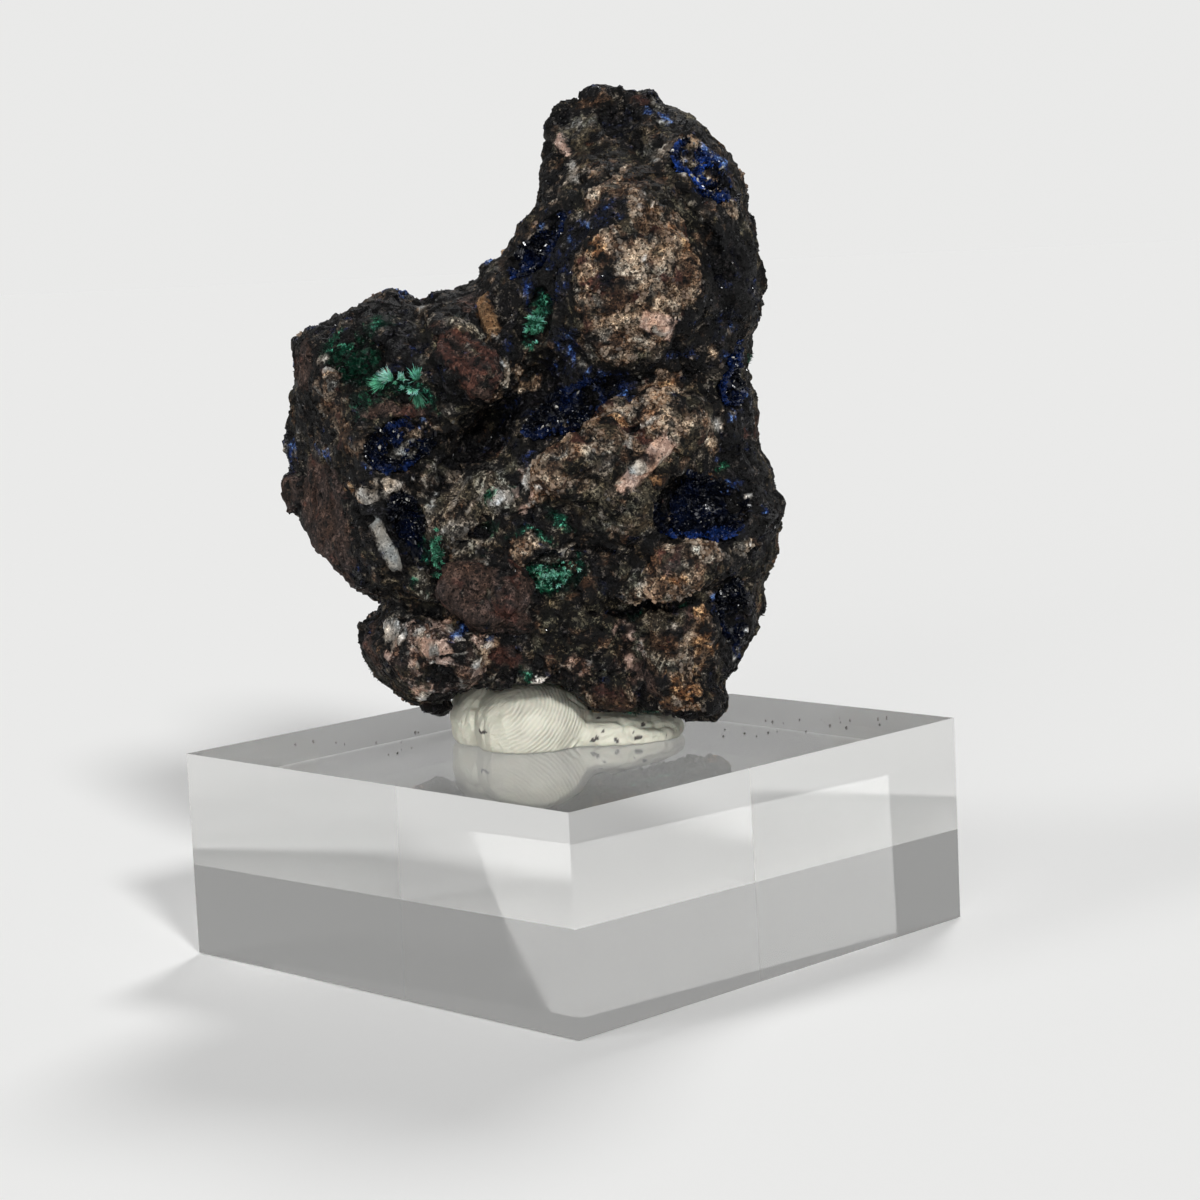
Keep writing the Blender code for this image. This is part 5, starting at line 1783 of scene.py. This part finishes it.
def putty_material(settings):
    """Putty with a print of fine curved ridges, painted shade in their grooves, and dark specks: dirt, and
    the painted shade of a few small holes.
    """
    nodes = Nodes("white putty")
    centre = Vector(RIDGE_CENTRE) * MM
    away = nodes.add("ShaderNodeVectorMath", {0: nodes.shaken(2.2, 0.3), 1: centre}, operation="DISTANCE")
    turns = nodes.math("MULTIPLY", away.outputs["Value"], 2 * math.pi / settings.ridge_spacing)
    printed = nodes.attribute("print", "Fac")
    print_here = nodes.math("MULTIPLY", printed, nodes.ranged(nodes.noise(1.4), 0.3, 0.6, 0.2, 1))
    ridges = nodes.math("MULTIPLY", nodes.math("SINE", turns, 0), print_here)
    smudge = nodes.ranged(nodes.noise(1.8, 3), 0.35, 0.7, 0, 0.28)
    smudge = nodes.math("ADD", smudge, nodes.ranged(printed, 0, 1, 0, 0.16))
    body = nodes.mix(smudge, (*settings.body, 1), SMUDGE)
    # The grooves between the ridges are painted darker: painted shade
    groove_shaded = nodes.toned(body, nodes.ranged(ridges, -1, 0.2, 0.8, 1))
    along = nodes.drawn_out(nodes.shaken(1.2, 0.4), WRINKLE_TURN, WRINKLE_LENGTH)
    wrinkles = nodes.ranged(nodes.noise(0.45, 4, 0.6, along), *NOISE_SPAN, 0, 2.5)
    wrinkles = nodes.math("MULTIPLY", wrinkles, nodes.ranged(printed, 0, 1, 1, 0.3))
    height = nodes.math("ADD", nodes.math("ADD", ridges, wrinkles), nodes.noise(0.22, 3))
    return nodes.finish(
        Base_Color=nodes.mix(nodes.attribute("dirt", "Fac"), groove_shaded, (*settings.dirt, 1)),
        Roughness=nodes.varied(0.6, 0.48, 0.7),
        Normal=nodes.bump(height, settings.ridge_height / MM, 0.8),
        Subsurface_Weight=0.1,
        Subsurface_Scale=0.4 * MM,
    )


class SPECIMEN_OT_putty(bpy.types.Operator):
    """Dress the putty: pressed ridges, folds, creases and specks"""

    bl_idname = "specimen.putty"
    bl_label = "Putty"

    def execute(self, context):
        settings = context.scene.specimen_putty
        putty = remeshed("putty", "mounting_putty", settings.cell, smoothing=8)
        shape_putty(putty.data)
        putty.data.shade_smooth()
        putty.data.materials.append(putty_material(settings))
        dressed(putty)
        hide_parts("mounting_putty")
        return {"FINISHED"}


def acrylic_material(settings):
    nodes = Nodes("clear acrylic")
    smear = nodes.ranged(nodes.noise(9, 3), 0.5, 0.7, 0, 0.03)
    body = nodes.add(
        "ShaderNodeVolumeAbsorption", {"Color": (*settings.tint, 1), "Density": settings.absorption}
    )
    nodes.put(nodes.tree.nodes["Material Output"].inputs["Volume"], body.outputs[0])
    return nodes.finish(
        Base_Color=(1, 1, 1, 1),
        Roughness=nodes.math("ADD", smear, settings.polish),
        Transmission_Weight=1.0,
        IOR=1.49,
    )


# Crumbs: how far to the left and to the right they lie, how far to the front and back in the
# middle and how much further they may go, and half of the block's diagonal
CRUMBS_LEFT = (-26, -13)
CRUMBS_RIGHT = (14, 30)
CRUMBS_DEEP = (-7, 7)
CRUMBS_FURTHER = 1.6
HALF_DIAGONAL = 36

# Their half widths and lengths for these, how high their middles are over the block, how uneven
# they are, and their paint
CRUMB_SIZES = (0.03, 0.1)
CRUMB_LENGTH = 1.6
CRUMB_HEIGHT = 0.06
CRUMB_SHAKE = 0.015
CRUMB_TONES = (0.02, 0.14)
CRUMB_TINT = (1, 0.9, 0.85)


def crumbs(settings, finish):
    """Crumbs of stone that have fallen on the block."""
    chance = np.random.default_rng(SEED + 4)
    count = settings.crumbs
    spots = []
    for number in range(count):
        side = CRUMBS_RIGHT if number % 3 else CRUMBS_LEFT
        spots.append((chance.uniform(*side), chance.uniform(*CRUMBS_DEEP)))
    places = np.array([
        (x, y * (1 - abs(x) / HALF_DIAGONAL) * CRUMBS_FURTHER, BLOCK_TOP + CRUMB_HEIGHT)
        for x, y in spots
    ])
    sizes = log_uniform(chance, *CRUMB_SIZES, count)
    directions = chance.normal(size=(count, 3))
    points, triangles = scattered(
        GRAIN, GRAIN_FACES, places, directions, sizes, sizes * CRUMB_LENGTH, chance
    )
    points += chance.normal(size=points.shape) * CRUMB_SHAKE
    paint = chance.uniform(*CRUMB_TONES, (count, 1)) * np.array(CRUMB_TINT)
    piece("crumbs", points, triangles, np.repeat(paint, len(GRAIN), axis=0), finish)


def crisp_block(finish):
    """The block with crisp edges: the corners of the CAD block's top, pushed out to its sides."""
    points = points_of(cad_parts["acrylic_block"].data)
    low, high = points[:, 2].min(), points[:, 2].max()
    corners = np.unique(points[points[:, 2] > high - 0.001, :2].round(3), axis=0)
    corners = corners[np.argsort(np.arctan2(corners[:, 1], corners[:, 0]))]
    if len(corners) != 4:
        raise RuntimeError("the block's top has no four corners")
    side = unit(corners[:1] - corners[1:2])[0]
    corners *= (points[:, :2] @ side).max() / (corners @ side).max()
    points = np.vstack([np.c_[corners, np.full(4, level)] for level in (low, high)])
    faces = prism(4, (0, 2, 1), (0, 3, 2), (4, 5, 6), (4, 6, 7))
    made = piece("block", points, faces, np.ones((8, 3)), finish)
    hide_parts("acrylic_block")


class SPECIMEN_OT_block(bpy.types.Operator):
    """Finish the clear block, and strew crumbs of stone on it"""

    bl_idname = "specimen.block"
    bl_label = "Block"

    def execute(self, context):
        settings = context.scene.specimen_block
        crisp_block(acrylic_material(settings))
        crumbs(settings, crystal_material("pale grains"))
        return {"FINISHED"}


# The floor's side, and how far under the block it lies
FLOOR_SIZE = 8000
FLOOR_DROP = 0.15

SUNS = {
    # Direction from which it shines as (azimuth, elevation) in degrees, its share and its width
    "key": (20, 28, 0.8, 8),
    "low": (-12, 8, 0.4, 30),
    "side": (-64, 26, 0.25, 20),
    "back": (160, 50, 0.42, 14),
}


def floor_light(settings):
    """Light that falls on the open floor, as a share of what makes white paper white."""
    suns = sum(math.sin(math.radians(sun[1])) * sun[2] for sun in SUNS.values())
    return settings.fill + settings.sun * suns / math.pi


def make_world(settings):
    """A backdrop as bright as the open floor, a softer one for reflections, and an even light."""
    world = bpy.data.worlds.new("studio")
    world.use_nodes = True
    tree = world.node_tree
    tree.nodes.clear()
    ray = tree.nodes.new("ShaderNodeLightPath")
    strengths = {
        "Is Transmission Ray": settings.surround,
        "Is Glossy Ray": settings.surround,
        "Is Camera Ray": floor_light(settings),
    }
    light = tree.nodes.new("ShaderNodeBackground")
    light.inputs["Strength"].default_value = settings.fill
    light.inputs["Color"].default_value = (1, 1, 1, 1)
    for name, strength in strengths.items():
        seen = tree.nodes.new("ShaderNodeBackground")
        seen.inputs["Color"].default_value = (*settings.floor, 1)
        seen.inputs["Strength"].default_value = strength
        mix = tree.nodes.new("ShaderNodeMixShader")
        tree.links.new(ray.outputs[name], mix.inputs[0])
        tree.links.new(light.outputs[0], mix.inputs[1])
        tree.links.new(seen.outputs[0], mix.inputs[2])
        light = mix
    out = tree.nodes.new("ShaderNodeOutputWorld")
    tree.links.new(light.outputs[0], out.inputs["Surface"])
    return world


def make_camera():
    data = bpy.data.cameras.new("camera")
    data.lens = LENS
    data.sensor_width = SENSOR
    data.clip_start = 0.01
    made = link("camera", data)
    made.matrix_world = Matrix.Translation(CAMERA_PLACE * MM) @ CAMERA_TURN.to_4x4()
    return made


def make_floor(settings):
    half = FLOOR_SIZE / 2 * MM
    mesh = bpy.data.meshes.new("floor")
    corners = [(-half, -half, 0), (half, -half, 0), (half, half, 0), (-half, half, 0)]
    mesh.from_pydata(corners, [], [(0, 1, 2, 3)])
    made = link("floor", mesh)
    made.location.z = -FLOOR_DROP * MM
    nodes = Nodes("floor paper")
    mesh.materials.append(nodes.finish(Base_Color=(*settings.floor, 1), Roughness=1, Specular_IOR_Level=0))


class SPECIMEN_OT_stage(bpy.types.Operator):
    """Lay the floor, set the light and place the camera"""

    bl_idname = "specimen.stage"
    bl_label = "Stage"

    def execute(self, context):
        settings = context.scene.specimen_stage
        scene = context.scene
        make_floor(settings)
        for name, (azimuth, elevation, strength, width) in SUNS.items():
            light = bpy.data.lights.new(name + "_light", "SUN")
            light.energy = settings.sun * strength
            light.angle = math.radians(width)
            made = link(name + "_light", light)
            turn = Matrix.Rotation(math.radians(azimuth), 4, "Z")
            made.matrix_world = turn @ Matrix.Rotation(math.radians(90 - elevation), 4, "X")
        scene.world = make_world(settings)
        scene.camera = make_camera()
        scene.view_settings.view_transform = "Standard"
        return {"FINISHED"}


class SPECIMEN_PT_panel(bpy.types.Panel):
    """The specimen's settings and operators"""

    bl_label = "Specimen"
    bl_space_type = "VIEW_3D"
    bl_region_type = "UI"
    bl_category = "Specimen"

    def draw(self, context):
        for name, (settings, operator) in PARTS.items():
            box = self.layout.box()
            box.operator(operator.bl_idname)
            group = getattr(context.scene, name)
            for label in settings.__annotations__:
                box.prop(group, label)


PARTS = {
    "specimen_stone": (StoneSettings, SPECIMEN_OT_stone),
    "specimen_azurite": (AzuriteSettings, SPECIMEN_OT_azurite),
    "specimen_malachite": (MalachiteSettings, SPECIMEN_OT_malachite),
    "specimen_putty": (PuttySettings, SPECIMEN_OT_putty),
    "specimen_block": (BlockSettings, SPECIMEN_OT_block),
    "specimen_stage": (StageSettings, SPECIMEN_OT_stage),
}


def register():
    for name, (settings, operator) in PARTS.items():
        bpy.utils.register_class(settings)
        bpy.utils.register_class(operator)
        setattr(bpy.types.Scene, name, PointerProperty(type=settings))
    bpy.utils.register_class(SPECIMEN_PT_panel)


def unregister():
    bpy.utils.unregister_class(SPECIMEN_PT_panel)
    for name, (settings, operator) in PARTS.items():
        delattr(bpy.types.Scene, name)
        bpy.utils.unregister_class(operator)
        bpy.utils.unregister_class(settings)


def main():
    register()
    bpy.ops.specimen.stone()
    bpy.ops.specimen.azurite()
    bpy.ops.specimen.malachite()
    bpy.ops.specimen.putty()
    bpy.ops.specimen.block()
    bpy.ops.specimen.stage()


if __name__ == "__main__":
    main()
